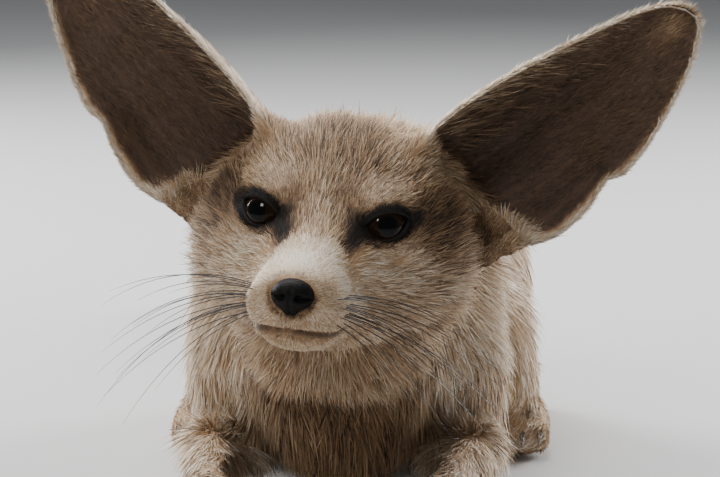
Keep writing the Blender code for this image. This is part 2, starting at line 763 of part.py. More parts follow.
def main():
    clear_scene()
    body = flesh()
    nape = HEAD @ Matrix.Translation((0, 52, -10)) @ Matrix.Rotation(math.radians(-12), 4, "X")
    head = part_off(body, "head", [((-60, -130, -50), (60, 0, 75))], nape)
    tail = part_off(body, "tail_brush", [((-120, TAIL_ROOT[1] + GAP, -5), (100, 600, 100))])
    tail_root = part_off(body, "tail_root", [((-120, TAIL_ROOT[0], -5), (100, TAIL_ROOT[1] + 50, 100))])
    nodes = [head, tail_root, tail]
    legs = {}
    for label, side in (("left", 1), ("right", -1)):
        fore = [side_box(side, 31, 100, -80, 112, -5, 52), side_box(side, 1, 100, -90, 12, -5, 40)]
        legs["foreleg_" + label] = part_off(body, "foreleg_" + label, fore)
        hind = [side_box(side, 35, 110, 112 + GAP, 256, -5, 104)]
        legs["hindleg_" + label] = part_off(body, "hindleg_" + label, hind)
    neck = part_off(body, "neck", [((-80, -80, 30), (80, 62, 200))])
    body.name = "torso"
    nodes += [neck, body, *legs.values()]
    for label, side in (("left", 1), ("right", -1)):
        reach = -4 if side > 0 else 2
        nodes += add_claws(legs["foreleg_" + label], "fore_" + label, side * 36, -18 + reach)
        nodes += add_claws(legs["hindleg_" + label], "hind_" + label, side * HIND_PAW[0], HIND_PAW[1])
    lids = [
        ellipsoid((0, 0, 0), (EYE_RADIUS + LID_THICKNESS,) * 3, (90, 0, 0), eye_frame(side), segments=20)
        for side in (1, -1)
    ]
    boolean(tail, "UNION", *tail_locks(), solver="MANIFOLD")
    trim = block((-200, 200, -60), (200, 600, 0)), block((-200, 200, -60), (200, TAIL_ROOT[1] + GAP, 200))
    boolean(tail, "DIFFERENCE", *trim)
    boolean(head, "UNION", *lids, ear_shell(1), ear_shell(-1), solver="MANIFOLD")
    for side in (1, -1):
        socket = ellipsoid((0, 0, 0), (EYE_RADIUS + GAP,) * 3, (90, 0, 0), eye_frame(side), segments=20)
        boolean(socket, "UNION", lid_opening(side))
        boolean(head, "DIFFERENCE", socket, solver="MANIFOLD")
    boolean(head, "DIFFERENCE", groove(mouth_line(head), MOUTH_GROOVE), solver="MANIFOLD")
    nodes.append(make_nose(head))
    for label, side in (("left", 1), ("right", -1)):
        box = (-45, -30, EAR_PART_HEIGHT), (60, 40, 110)
        nodes.append(part_off(head, "ear_" + label, [box], ear_frame(side)))
        nodes.append(make_eye(side, "eye_" + label))
    for node in nodes:
        dark = node.name.startswith(("eye", "nose", "claw"))
        finish_node(node, (0.02, 0.015, 0.012) if dark else FUR_COLOUR, 0.25 if dark else FUR_ROUGHNESS)
    settle(nodes)


main()
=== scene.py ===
import math

import bmesh
import bpy
import numpy as np
from mathutils import Matrix, Vector
from mathutils.bvhtree import BVHTree


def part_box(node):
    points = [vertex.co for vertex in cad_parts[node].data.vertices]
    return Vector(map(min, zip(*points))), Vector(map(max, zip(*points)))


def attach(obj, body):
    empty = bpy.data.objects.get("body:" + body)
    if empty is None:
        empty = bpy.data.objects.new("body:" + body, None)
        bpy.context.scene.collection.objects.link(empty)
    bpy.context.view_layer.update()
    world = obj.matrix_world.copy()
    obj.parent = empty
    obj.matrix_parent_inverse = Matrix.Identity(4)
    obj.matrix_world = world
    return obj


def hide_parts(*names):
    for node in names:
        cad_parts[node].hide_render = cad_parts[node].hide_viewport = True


# A fennec fox lying on its chest with its head up. Shapes are worked out in millimetres.
mm = 0.001
chance = np.random.default_rng(11)
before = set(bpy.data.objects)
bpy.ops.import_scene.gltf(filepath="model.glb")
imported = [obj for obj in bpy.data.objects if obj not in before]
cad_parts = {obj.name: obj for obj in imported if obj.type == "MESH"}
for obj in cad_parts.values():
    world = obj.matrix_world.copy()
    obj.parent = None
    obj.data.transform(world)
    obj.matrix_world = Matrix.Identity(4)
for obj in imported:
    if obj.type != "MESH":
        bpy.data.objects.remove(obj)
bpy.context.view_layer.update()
print("frame loaded")


# places: the head, eyes and ears each have a frame of their own
def turned(axis, degrees):
    return Matrix.Rotation(math.radians(degrees), 4, axis)


def middleOf(node):
    low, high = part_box(node)
    return (low + high) / (2 * mm)


headPose = {"yaw": -4.7, "pitch": -6.2, "roll": 5.5, "eyeHeight": 100.0}
eyeSet = {"apart": 17.4, "radius": 8.0, "halfWidth": 7.7, "halfHeight": 4.8, "slant": 21.0, "out": 20.0, "up": 4.0}
earSet = {"root": (35, 20, 10), "rise": 49.0, "turn": 25.0, "lean": 4.0, "thickness": 2.3}

eyeMiddle = (middleOf("eye_left") + middleOf("eye_right")) / 2
bodyShift = np.array(eyeMiddle) - (0, 0, headPose["eyeHeight"])
headFrame = Matrix.Translation(eyeMiddle) @ turned("Z", headPose["yaw"]) @ turned("X", headPose["pitch"])
headFrame = headFrame @ turned("Y", headPose["roll"])
eyeFrames = {
    side: headFrame
    @ Matrix.Translation((side * eyeSet["apart"], 0, 0))
    @ turned("Z", side * eyeSet["out"])
    @ turned("X", -eyeSet["up"])
    @ turned("Y", -side * eyeSet["slant"])
    for side in (1, -1)
}
earFrames = {
    side: headFrame
    @ Matrix.Diagonal((side, 1, 1, 1))
    @ Matrix.Translation(earSet["root"])
    @ turned("Y", 90 - earSet["rise"])
    @ turned("X", -earSet["lean"])
    @ turned("Z", earSet["turn"])
    for side in (1, -1)
}
sideNames = {1: "left", -1: "right"}


def outOf(place, points):
    grid = np.array(place)
    return np.asarray(points, float) @ grid[:3, :3].T + grid[:3, 3]


def into(place, points):
    return outOf(place.inverted(), points)


def swung(place, vectors):
    return np.asarray(vectors, float) @ np.array(place)[:3, :3].T


def unit(vectors):
    return vectors / np.maximum(np.linalg.norm(vectors, axis=-1, keepdims=True), 1e-9)


def ramp(values, low, high):
    share = np.clip((values - low) / (high - low), 0, 1)
    return share * share * (3 - 2 * share)


def curveAt(values, share):
    # Catmull-Rom through the rows of a table
    values = np.asarray(values, float)
    place = np.clip(share, 0, 1) * (len(values) - 1)
    k = np.minimum(place.astype(int), len(values) - 2)
    f = (place - k)[..., None]
    a, b, c, d = (values[np.clip(k + i, 0, len(values) - 1)] for i in (-1, 0, 1, 2))
    return (2 * b + (c - a) * f + (2 * a - 5 * b + 4 * c - d) * f**2 + (3 * b - a - 3 * c + d) * f**3) / 2


def ridges(points, size, seed=0.0):
    # a smooth made-up field from -1 to 1, from a few crossing waves
    p = np.asarray(points, float) / size
    x, y, z = p[..., 0] + seed, p[..., 1] + 1.7 * seed, p[..., 2] - seed
    one = np.sin(x * 2.1 + 1.3 * np.sin(y * 1.7 + 0.8 * z)) + np.sin(y * 2.3 + 1.1 * np.sin(z * 1.9 - x))
    two = np.sin(z * 2.0 + 1.2 * np.sin(x * 1.6 + y)) + np.sin((x + y - z) * 1.4 + seed)
    return (one + two) / 4


# meshes
def meshFrom(name, points, faces, smooth=True):
    # points in millimetres; faces is an array with one row per face, all of one size
    faces = np.asarray(faces, np.int32)
    mesh = bpy.data.meshes.new(name)
    mesh.vertices.add(len(points))
    mesh.vertices.foreach_set("co", (np.asarray(points) * mm).astype(np.float32).ravel())
    mesh.loops.add(faces.size)
    mesh.loops.foreach_set("vertex_index", faces.ravel())
    mesh.polygons.add(len(faces))
    mesh.polygons.foreach_set("loop_start", np.arange(0, faces.size, faces.shape[1], dtype=np.int32))
    mesh.polygons.foreach_set("use_smooth", np.full(len(faces), smooth))
    mesh.update(calc_edges=True)
    obj = bpy.data.objects.new(name, mesh)
    bpy.context.scene.collection.objects.link(obj)
    return obj


def putValues(obj, **values):
    for name, numbers in values.items():
        layer = obj.data.attributes.new(name, "FLOAT", "POINT")
        layer.data.foreach_set("value", np.asarray(numbers, np.float32))


def gridFaces(rows, columns, closed=False):
    # quads over a grid of points kept row by row
    across = columns if closed else columns - 1
    i, j = np.meshgrid(np.arange(rows - 1), np.arange(across), indexing="ij")
    k = (j + 1) % columns
    return np.stack([i * columns + j, i * columns + k, (i + 1) * columns + k, (i + 1) * columns + j], -1).reshape(-1, 4)


def addForm(bm, points, faces):
    verts = [bm.verts.new(p) for p in np.asarray(points) * mm]
    for face in faces:
        bm.faces.new([verts[i] for i in face])


def addBall(bm, centre, radii, turn=(0, 0, 0), place=None, segments=32):
    spin = turned("Z", turn[2]) @ turned("Y", turn[1]) @ turned("X", turn[0])
    where = (place or Matrix()) @ Matrix.Translation(centre) @ spin @ Matrix.Diagonal((*radii, 1))
    bmesh.ops.create_uvsphere(
        bm, u_segments=segments, v_segments=segments // 2, radius=1, matrix=Matrix.Scale(mm, 4) @ where
    )


def addTube(bm, line, radii, sides=24):
    # a closed tube along a line of points
    line, radii = np.asarray(line, float), np.asarray(radii, float)
    along = unit(np.gradient(line, axis=0))
    side = unit(np.cross(along, (0, 0, 1)))
    up = np.cross(side, along)
    angle = np.linspace(0, 2 * np.pi, sides, endpoint=False)
    ring = np.cos(angle)[None, :, None] * side[:, None] + np.sin(angle)[None, :, None] * up[:, None]
    points = (line[:, None] + ring * radii[:, None, None]).reshape(-1, 3)
    faces = [list(f) for f in gridFaces(len(line), sides, closed=True)]
    faces += [list(range(sides))[::-1], list(range(len(points) - sides, len(points)))]
    addForm(bm, points, faces)


def modified(obj, *modifiers):
    # adds modifiers and makes their result the object's own mesh
    for kind, settings in modifiers:
        modifier = obj.modifiers.new(kind, kind)
        for key, value in settings.items():
            setattr(modifier, key, value)
    view = bpy.context.evaluated_depsgraph_get()
    made = bpy.data.meshes.new_from_object(obj.evaluated_get(view), depsgraph=view)
    obj.modifiers.clear()
    old, obj.data = obj.data, made
    bpy.data.meshes.remove(old)
    return obj


def arraysOf(mesh):
    points = np.empty(len(mesh.vertices) * 3)
    mesh.vertices.foreach_get("co", points)
    corners = np.empty(len(mesh.loops), np.int32)
    mesh.loops.foreach_get("vertex_index", corners)
    return points.reshape(-1, 3) / mm, corners


# the skin: one surface under the coat
tailPath = [
    (0, 226, 52, 13), (-1, 252, 37, 13.5), (-5, 284, 25.5, 16.5), (-15, 326, 22.5, 21), (-28, 362, 22.5, 23),
    (-42, 398, 21.5, 22), (-54, 430, 17, 17), (-61, 452, 11, 9), (-64, 462, 8, 3.5),
]
# the ear's front and rear edges, as across and up from its root, base to tip
earEdges = [
    (-12.0, -9.0, 21.5, -9.0), (-16.6, 0.0, 23.5, 0.0), (-20.4, 9.0, 29.0, 8.5), (-20.8, 18.0, 32.4, 17.0),
    (-19.4, 28.0, 32.2, 28.5), (-17.6, 37.0, 29.8, 37.5), (-15.3, 46.0, 31.6, 44.0), (-12.8, 55.0, 30.4, 53.0),
    (-10.2, 63.5, 27.8, 62.0), (-7.4, 72.0, 24.6, 70.5), (-4.2, 80.0, 21.0, 78.5), (-0.4, 86.6, 17.4, 85.0),
    (4.2, 90.4, 13.8, 89.4), (7.8, 91.8, 10.8, 91.5),
]
earCup = [21, 20, 18.5, 17, 15.5, 13.5, 11.5, 9.5, 8, 6.5, 5, 3.6, 2, 0.8]
earHeight = 92.0


def earInner(row, across):
    # the cup's inner face, with its lengthwise folds and the pouch on its rear edge
    edges = curveAt(earEdges, row)
    depth = curveAt(np.array(earCup)[:, None], row)[..., 0]
    x = edges[..., 0] * (1 - across) + edges[..., 2] * across
    z = edges[..., 1] * (1 - across) + edges[..., 3] * across
    bowl = np.clip(4 * across * (1 - across), 0, 1) ** 0.75 * (1.18 - 0.36 * across)
    y = depth * bowl - 2.5 * (1 - across) ** 3 * (1 - row)
    inside = np.clip(8 * across * (1 - across), 0, 1)
    for middle, wide, high, lean in ((0.30, 0.030, 0.55, 0.10), (0.44, 0.030, 0.7, 0.04), (0.60, 0.035, 0.6, -0.05)):
        near = np.exp(-(((across - middle - lean * (row - 0.3)) / wide) ** 2))
        y = y - high * near * inside * ramp(row, 0.08, 0.2) * (1 - ramp(row, 0.55, 0.8))
    pouch = np.exp(-(((across - 0.84 - 0.06 * row) / 0.05) ** 2)) * ramp(row, 0.08, 0.2) * (1 - ramp(row, 0.42, 0.5))
    y = y + 1.0 * pouch
    return np.stack([x, y, z], -1)


def earSheets(rows=84, columns=44):
    row, across = np.meshgrid(np.linspace(0, 1, rows), np.linspace(0, 1, columns), indexing="ij")
    front = earInner(row, across)
    du = earInner(row, np.minimum(across + 0.01, 1)) - earInner(row, np.maximum(across - 0.01, 0))
    dv = earInner(np.minimum(row + 0.01, 1), across) - earInner(np.maximum(row - 0.01, 0), across)
    out = unit(np.cross(dv, du))
    edge = np.minimum(1, 4 * np.minimum(np.minimum(across, 1 - across), 1 - row) + 0.34)
    back = front + out * (earSet["thickness"] * edge * (1.25 - 0.45 * row))[..., None]
    return front, back


def addEar(bm, side):
    front, back = earSheets()
    rows, columns = front.shape[:2]
    faces = gridFaces(rows, columns)
    count = rows * columns
    rim = [i * columns for i in range(rows)] + [(rows - 1) * columns + j for j in range(1, columns)]
    rim += [i * columns + columns - 1 for i in range(rows - 2, -1, -1)] + list(range(columns - 2, -1, -1))
    walls = [(a, a + count, b + count, b) for a, b in zip(rim, rim[1:])]
    points = np.concatenate([front.reshape(-1, 3), back.reshape(-1, 3)])
    everyFace = [f[::-1] for f in faces] + [f + count for f in faces] + walls
    addForm(bm, outOf(earFrames[side], points), everyFace)


fleshNodes = ["head", "neck", "torso", "foreleg_left", "foreleg_right", "hindleg_left", "hindleg_right", "tail_root"]
skinSet = {"voxel": 1.15, "bridge": 0.35, "bodyShare": 0.42}


def addNode(bm, name):
    # the solid's own form, swollen a little so that neighbours fuse across the gap
    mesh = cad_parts[name].data
    points, corners = arraysOf(mesh)
    soft = np.empty(len(mesh.vertices) * 3)
    mesh.vertices.foreach_get("normal", soft)
    sizes = np.empty(len(mesh.polygons), np.int32)
    mesh.polygons.foreach_get("loop_total", sizes)
    merged, back = np.unique(np.round(points, 3), axis=0, return_inverse=True)
    back = back.ravel()
    lean = np.zeros_like(merged)
    np.add.at(lean, back, soft.reshape(-1, 3))
    spots = merged + unit(lean) * skinSet["bridge"]
    faces, start = [], 0
    for size in sizes:
        loop = back[corners[start:start + size]]
        start += size
        if len(set(loop)) == len(loop):
            faces.append(loop)
    addForm(bm, spots, faces)


def rawSkin():
    bm = bmesh.new()
    for name in fleshNodes:
        addNode(bm, name)
    for side in (1, -1):
        addEar(bm, side)
        addBall(bm, (0, 0, 0), (9.25, 9.25, 9.25), place=eyeFrames[side])
        addBall(bm, (side * 8.4, -37.0, -24.5), (6.6, 7.4, 6.4), (0, 0, side * 14), headFrame)
    addBall(bm, (0, -43.6, -20.6), (5.2, 5.4, 4.0), place=headFrame)
    addBall(bm, bodyShift + (0, 96, 98.5), (22, 32, 26))
    path = curveAt(tailPath, np.linspace(0, 1, 60))
    radii = path[:, 3] * np.interp(np.linspace(0, 1, 60), (0, 0.12, 0.3, 1), (0.72, 0.62, 0.42, 0.36))
    path[:, :3] += bodyShift
    addTube(bm, path[:, :3], np.maximum(radii, 1.2))
    mesh = bpy.data.meshes.new("skin")
    bmesh.ops.recalc_face_normals(bm, faces=bm.faces)
    bm.to_mesh(mesh)
    bm.free()
    skin = bpy.data.objects.new("skin", mesh)
    bpy.context.scene.collection.objects.link(skin)
    modified(skin, ("REMESH", {"mode": "VOXEL", "voxel_size": skinSet["voxel"] * mm}))
    modified(skin, ("SMOOTH", {"factor": 0.5, "iterations": 3}))
    points, corners = arraysOf(skin.data)
    local = points - bodyShift
    plain = ramp(into(headFrame, points)[:, 1], 46, 60)
    for side in (1, -1):
        plain = plain * (1 - ramp(into(earFrames[side], points)[:, 2], -4, 4) * (local[:, 1] < 70))
    group = skin.vertex_groups.new(name="plain")
    steps = np.round(plain * 10).astype(int)
    for step in range(1, 11):
        chosen = np.flatnonzero(steps == step)
        if len(chosen):
            group.add(chosen.tolist(), step / 10, "REPLACE")
    total = len(skin.data.polygons) * 2
    print("raw skin", total)
    thin = {"ratio": skinSet["bodyShare"], "vertex_group": "plain", "vertex_group_factor": 1.0}
    modified(skin, ("DECIMATE", thin), ("TRIANGULATE", {}))
    skin.vertex_groups.clear()
    return skin


skin = rawSkin()
points, corners = arraysOf(skin.data)
triangles = corners.reshape(-1, 3)
pairs = np.unique(np.sort(np.concatenate([triangles[:, :2], triangles[:, 1:], triangles[:, ::2]]), axis=1), axis=0)
valence = np.bincount(pairs.ravel(), minlength=len(points)).astype(float)
print("skin", len(points), "points", len(triangles), "triangles")


def eased(values, turns, share=0.5):
    # spreads values evenly over the surface
    values = np.array(values, float)
    flat = values.reshape(len(values), -1)
    for _ in range(turns):
        for k in range(flat.shape[1]):
            column = flat[:, k]
            total = np.bincount(pairs[:, 0], column[pairs[:, 1]], len(column))
            total += np.bincount(pairs[:, 1], column[pairs[:, 0]], len(column))
            flat[:, k] = column * (1 - share) + share * total / np.maximum(valence, 1)
    return flat.reshape(values.shape)


def normalsOf(spots):
    a, b, c = (spots[triangles[:, k]] for k in range(3))
    flat = np.cross(b - a, c - a)
    total = np.zeros_like(spots)
    for k in range(3):
        for axis in range(3):
            total[:, axis] += np.bincount(triangles[:, k], flat[:, axis], len(spots))
    return unit(total)


def nearestNodes(spots):
    names = fleshNodes + ["ear_left", "ear_right", "tail_brush"]
    allPoints, allFaces, owners = [], [], []
    count = 0
    for index, name in enumerate(names):
        nodePoints, nodeCorners = arraysOf(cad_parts[name].data)
        sizes = [p.loop_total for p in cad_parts[name].data.polygons]
        start = 0
        for size in sizes:
            allFaces.append([int(v) + count for v in nodeCorners[start:start + size]])
            owners.append(index)
            start += size
        allPoints.append(nodePoints)
        count += len(nodePoints)
    tree = BVHTree.FromPolygons(np.concatenate(allPoints).tolist(), allFaces)
    found = [tree.find_nearest(p)[2] for p in spots.tolist()]
    owned = np.array(owners)[np.array(found)]
    return {name: (owned == index) for index, name in enumerate(names)}


owner = nearestNodes(points)
print("regions known")


def placesOf(spots):
    # the same spots seen from the head, the body and both ears
    ears = {side: into(earFrames[side], spots) for side in (1, -1)}
    return into(headFrame, spots), spots - bodyShift, ears


def limbShare(body):
    # 0 at the toes to 1 where a limb leaves the trunk
    fore = np.clip((body[:, 1] + 26) / 90, 0, 1)
    hind = np.clip(np.maximum((body[:, 2] - 18) / 45, 0), 0, 1)
    return fore, hind


headSpots, bodySpots, earSpots = placesOf(points)
earness = np.zeros(len(points))
for side in (1, -1):
    e = earSpots[side]
    shell = ramp(e[:, 2], 2, 9) * (np.abs(e[:, 0] - 6) < 34) * (bodySpots[:, 1] < 75)
    earness = np.maximum(earness, shell * (e[:, 2] < 100) * (1 - ramp(e[:, 1], 26, 31)))
foreShare, hindShare = limbShare(bodySpots)
onHead = owner["head"] | owner["ear_left"] | owner["ear_right"]
onFore = owner["foreleg_left"] | owner["foreleg_right"]
onHind = owner["hindleg_left"] | owner["hindleg_right"]
onTail = owner["tail_brush"] | ((bodySpots[:, 1] > 252) & ~onHind)

# how deep the coat lies over the skin
coatDepth = {
    "headAt": (-50, -40, -28, -10, 5, 20, 40, 60), "head": (0.5, 0.7, 0.9, 1.1, 1.8, 2.8, 4.6, 6.4),
    "neck": 6.5, "torso": 7.0, "foreAt": (0, 0.3, 0.7, 1), "fore": (0.8, 1.6, 3.2, 5.0),
    "hindAt": (0, 0.3, 1), "hind": (0.9, 3.0, 5.5), "tailAt": (215, 240, 262, 284), "tail": (5.5, 7.0, 7.0, 5.0),
}
depth = np.full(len(points), coatDepth["torso"])
depth[owner["neck"]] = coatDepth["neck"]
depth[onHead] = np.interp(headSpots[onHead, 1], coatDepth["headAt"], coatDepth["head"])
depth[onFore] = np.interp(foreShare[onFore], coatDepth["foreAt"], coatDepth["fore"])
depth[onHind] = np.interp(hindShare[onHind], coatDepth["hindAt"], coatDepth["hind"])
rearward = (owner["tail_root"] | owner["torso"]) & (bodySpots[:, 1] > 215)
depth[rearward] = np.interp(bodySpots[rearward, 1], coatDepth["tailAt"], coatDepth["tail"])
depth[owner["tail_brush"]] = 0
eyeAway = np.minimum(*(np.linalg.norm(into(eyeFrames[side], points), axis=1) for side in (1, -1)))
depth = eased(depth, 14) * (1 - earness) * (0.15 + 0.85 * ramp(eyeAway, 9.8, 14))
for _ in range(5):
    points = points - normalsOf(points) * (depth / 5)[:, None]
    soft = (ramp(depth, 1.5, 4) * 0.6)[:, None]
    points = points * (1 - soft) + eased(points, 1, 0.6) * soft
smoothSet = {"trunk": 0.5, "napeAt": 76, "napeReach": 42, "tailHead": (222, 238, 276, 292), "earCorner": (-20, 2, -2), "turns": 200}
trunkness = eased((owner["neck"] | owner["torso"]).astype(float), 10)
nape = np.exp(-(((bodySpots[:, 1] - smoothSet["napeAt"]) / smoothSet["napeReach"]) ** 2)) * ramp(bodySpots[:, 2], 80, 104)
near, full, fade, far = smoothSet["tailHead"]
tailHead = ramp(bodySpots[:, 1], near, full) * (1 - ramp(bodySpots[:, 1], fade, far))
chestFront = trunkness * np.exp(-(((bodySpots[:, 1] - 25) / 35) ** 2)) * (1 - ramp(bodySpots[:, 2], 85, 100))
share = np.clip(smoothSet["trunk"] * trunkness + nape + tailHead + 0.5 * chestFront, 0, 1) * (1 - earness) * ramp(headSpots[:, 1], 22, 44)
share *= 1 - eased(onHind.astype(float), 8)
for side in (1, -1):  # the ear's front edge runs out softly on the brow
    away = np.linalg.norm(earSpots[side] - smoothSet["earCorner"], axis=1)
    share = np.maximum(share, 1 - ramp(away, 7, 13))
points = points * (1 - share[:, None]) + eased(points, smoothSet["turns"]) * share[:, None]
print("coat depth taken off")

mouth = {"back": -26.0, "swing": 96.0, "height": -31.0, "dip": 0.9, "rise": 2.0, "groove": 1.0, "lip": 0.4}


def mouthGap(spots):
    # how far each spot in the head's frame is above the line of the lips, and how far round it lies
    angle = np.degrees(np.arctan2(spots[:, 0], -(spots[:, 1] - mouth["back"])))
    swing = np.clip(np.abs(angle) / mouth["swing"], 0, 1)
    line = mouth["height"] - mouth["dip"] * np.sin(swing * np.pi) + mouth["rise"] * swing**3
    wide = (np.abs(angle) < mouth["swing"]) * (np.hypot(spots[:, 0], spots[:, 1] - mouth["back"]) > 6)
    return spots[:, 2] - line, wide * (1 - ramp(swing, 0.86, 1.0))


def openingGap(spots, side, grow=0.0):
    # below 1 within the lids' opening, in the eye's frame; also how far out from the eye's middle
    q = into(eyeFrames[side], spots)
    u = q[:, 0] / (eyeSet["halfWidth"] + grow)
    v = q[:, 2] / (eyeSet["halfHeight"] + grow)
    return np.sqrt(u * u + v * v) + (q[:, 1] > 0) * 9, q


def sculptFace():
    global points
    folded = np.abs(headSpots) * (1, 0, 0) + headSpots * (0, 1, 1)
    brow = np.exp(-(np.sum(((folded - (17, -4, 11)) / (15, 9, 6.5)) ** 2, axis=1) ** 2))[:, None] * 0.9
    calm = eased(points, 120)
    points = points * (1 - brow) + calm * brow
    out = normalsOf(points)
    gap, wide = mouthGap(headSpots)
    change = -mouth["groove"] * np.exp(-((gap / 0.8) ** 2)) * wide
    change += mouth["lip"] * np.exp(-(((np.abs(gap) - 1.9) / 1.0) ** 2)) * wide
    x, y, z = headSpots.T
    cleft = np.exp(-((x / 0.8) ** 2)) * (y < -40) * ramp(-z, 25, 27) * (z > -31.5)
    change -= 0.6 * cleft
    for side in (1, -1):  # the hollow that runs down from the inner corner of the eye
        start, end = np.array((side * 9.5, -9, -4.5)), np.array((side * 9.0, -20, -12))
        share = np.clip((headSpots - start) @ (end - start) / ((end - start) @ (end - start)), 0, 1)
        away = np.linalg.norm(headSpots - start - share[:, None] * (end - start), axis=1)
        change -= 0.9 * np.exp(-((away / 3.0) ** 2)) * (1 - 0.6 * share)
    points = points + out * (change * (~onTail))[:, None]
    for side in (1, -1):
        gap, q = openingGap(points, side, 0.2)
        far = np.linalg.norm(q, axis=1)
        share = ramp(gap, 1.0, 1.14)
        goal = 6.6 * (1 - share) + far * share
        near = (gap < 1.14) & (far < 14) & (far > goal)
        q[near] = q[near] * (goal / far)[near, None]
        points = np.where(near[:, None], outOf(eyeFrames[side], q), points)


sculptFace()
skin.data.vertices.foreach_set("co", (points * mm).astype(np.float32).ravel())
skin.data.polygons.foreach_set("use_smooth", np.full(len(triangles), True))
skin.data.update()
normals = normalsOf(points)
headSpots, bodySpots, earSpots = placesOf(points)
print("face sculpted")

# what grows where: values kept at each point of the skin
earRow, earAcross, earInside, earSide = (np.zeros(len(points)) for _ in range(4))
edgeTable = np.array(earEdges)
for side in (1, -1):
    e = earSpots[side]
    mine = (earness > 0) & ((headSpots[:, 0] > 0) == (side > 0))
    frontX = np.interp(e[:, 2], edgeTable[:, 1], edgeTable[:, 0])
    rearX = np.interp(e[:, 2], edgeTable[:, 3], edgeTable[:, 2])
    facing = into(earFrames[side], points + normals)[:, 1] - e[:, 1]
    earRow[mine] = np.clip(e[mine, 2] / earHeight, 0, 1)
    earAcross[mine] = np.clip((e[mine, 0] - frontX[mine]) / np.maximum(rearX - frontX, 1)[mine], 0, 1)
    cupFace = earInner(earRow, earAcross)[:, 1]
    within = ramp(e[:, 1], -6, -2) * (1 - ramp(e[:, 1] - cupFace, 1.2, 2.2))
    low = 1 + 8 * ramp(earAcross, 0.75, 0.95)
    earInside[mine] = (ramp(-facing, 0.0, 0.25) * ramp(e[:, 2] - low, 0, 6) * within)[mine]
    earSide[mine] = side

# soft patches of lighter and darker fur, with painted shade at the temples: middle, reach, tone, strength, on the
# head's left and mirrored
facePatches = {
    "forehead": ((0, 3, 22), (20, 18, 14), 0.40, 0.85),
    "crown": ((0, 34, 30), (30, 16, 16), 0.58, 0.8),
    "brow": ((17, -8, 10), (12, 9, 5), 0.50, 0.6),
    "innerBrow": ((7, -10, 5), (5, 6, 7), 0.34, 0.7),
    # painted shade: the temples are darkened as if they lay in shadow
    "templeShade": ((33, 0, 3), (9, 15, 13), 0.24, 0.95),
    "underEye": ((23, -14, -13), (11, 11, 7), 0.78, 0.85),
    "cheek": ((36, 8, -24), (14, 18, 16), 0.58, 0.8),
    "jaw": ((22, -4, -34), (16, 18, 9), 0.56, 0.7),
    "whiskerBed": ((14, -35, -24), (4.5, 7, 4.5), 0.44, 0.8),
    "muzzleSide": ((14, -30, -20), (8, 12, 9), 0.80, 0.9),
    "bridge": ((0, -33, -12), (11, 14, 9), 0.98, 1.0),
    "bridgeTop": ((0, -14, -1), (7, 9, 8), 0.52, 0.7),
    "pad": ((9, -42, -25), (8, 7, 6), 0.70, 0.8),
    "lowerLip": ((0, -42, -34), (9, 8, 3.2), 0.50, 0.6),
    "chin": ((0, -36, -38), (11, 9, 4), 0.62, 0.8),
}


def capsule(spots, start, end):
    start, end = np.array(start, float), np.array(end, float)
    share = np.clip((spots - start) @ (end - start) / ((end - start) @ (end - start)), 0, 1)
    return np.linalg.norm(spots - start - share[:, None] * (end - start), axis=1), share


def toneAt(head, body, onTailHere, onEars, row, across, inside, neck):
    # 0 is black and 1 white, from the same patches for skin and coat
    tone = np.full(len(head), 0.60)
    for middle, reach, goal, strength in facePatches.values():
        folded = np.stack([np.abs(head[:, 0]), head[:, 1], head[:, 2]], -1)
        away = np.sum(((folded - middle) / reach) ** 2, axis=1)
        share = strength * np.exp(-(away**1.4) * 0.9) * (neck < 0.5)
        tone += (goal - tone) * share
    back = ramp(neck, 0.2, 0.8)
    high = ramp(body[:, 2], 30, 110)
    trunk = 0.80 - 0.20 * high
    # painted shade: the chest between the forelegs is darkened towards 0.42, standing in for the shadow under the head
    chestShade = np.exp(-(((body[:, 1] - 20) / 45) ** 2)) * (1 - ramp(body[:, 2], 66, 95)) * (1 - ramp(np.abs(body[:, 0]), 20, 36))
    trunk += (0.42 - trunk) * chestShade
    tone += (trunk - tone) * back
    tail = 0.60 - 0.10 * ramp(body[:, 1], 260, 330)
    patch = np.exp(-(((body[:, 1] - 262) / 16) ** 2)) * ramp(body[:, 2], 34, 44)
    tail = tail * (1 - 0.38 * patch) * (1 - ramp(body[:, 1], 418, 440)) + 0.05 * ramp(body[:, 1], 418, 440)
    tone = np.where(onTailHere, tail, tone)
    inner = 0.20 + 0.07 * row + 0.75 * ramp(1 - across, 0.93, 0.99) + 0.70 * ramp(across, 0.96, 1.0)
    outer = 0.60 + 0.34 * np.abs(2 * across - 1) ** 4
    ear = inner * inside + outer * (1 - inside)
    tone += (ear - tone) * onEars
    gap, wide = mouthGap(head)
    lower = np.where(gap > 0, 0.35, 0.75)  # the dark edge lies on the lower lip
    tone += (0.05 - tone) * np.exp(-((gap / lower) ** 2)) * wide * 0.95 * (neck < 0.5)
    noseAway = np.linalg.norm((head - (0, -45.4, -21.6)) / (6.9, 6.4, 5.4), axis=1)
    tone += (0.10 - tone) * (1 - ramp(noseAway, 0.80, 0.92)) * (neck < 0.5)
    for side in (1, -1):
        away, share = capsule(head, (side * 11.0, -8, -3.0), (side * 7.6, -17, -9.5))
        mark = np.exp(-((away / (4.6 - 1.6 * share)) ** 4))
        tone += (0.03 - tone) * mark * (neck < 0.5)
        away, share = capsule(head, (side * 8.6, -10, 3), (side * 7.0, -5, 13))
        tone += (0.20 - tone) * np.exp(-((away / 1.7) ** 2)) * (0.7 - 0.5 * share) * (neck < 0.5)
        away, share = capsule(head, (side * 8.2, -17, -9.5), (side * 11.5, -27, -17))
        tone += (0.16 - tone) * np.exp(-((away / 2.2) ** 2)) * (0.8 - 0.6 * share) * (neck < 0.5)
        q = into(eyeFrames[side], outOf(headFrame, head)) + (side * 1.0, 0, 0.4)
        around = np.hypot(q[:, 0] / 10.6, q[:, 2] / 5.4) + (q[:, 1] > 0) * 9
        ring = 1 - ramp(around, 0.92, 1.12)
        tone += (0.03 - tone) * ring
    return np.clip(tone, 0.02, 1)


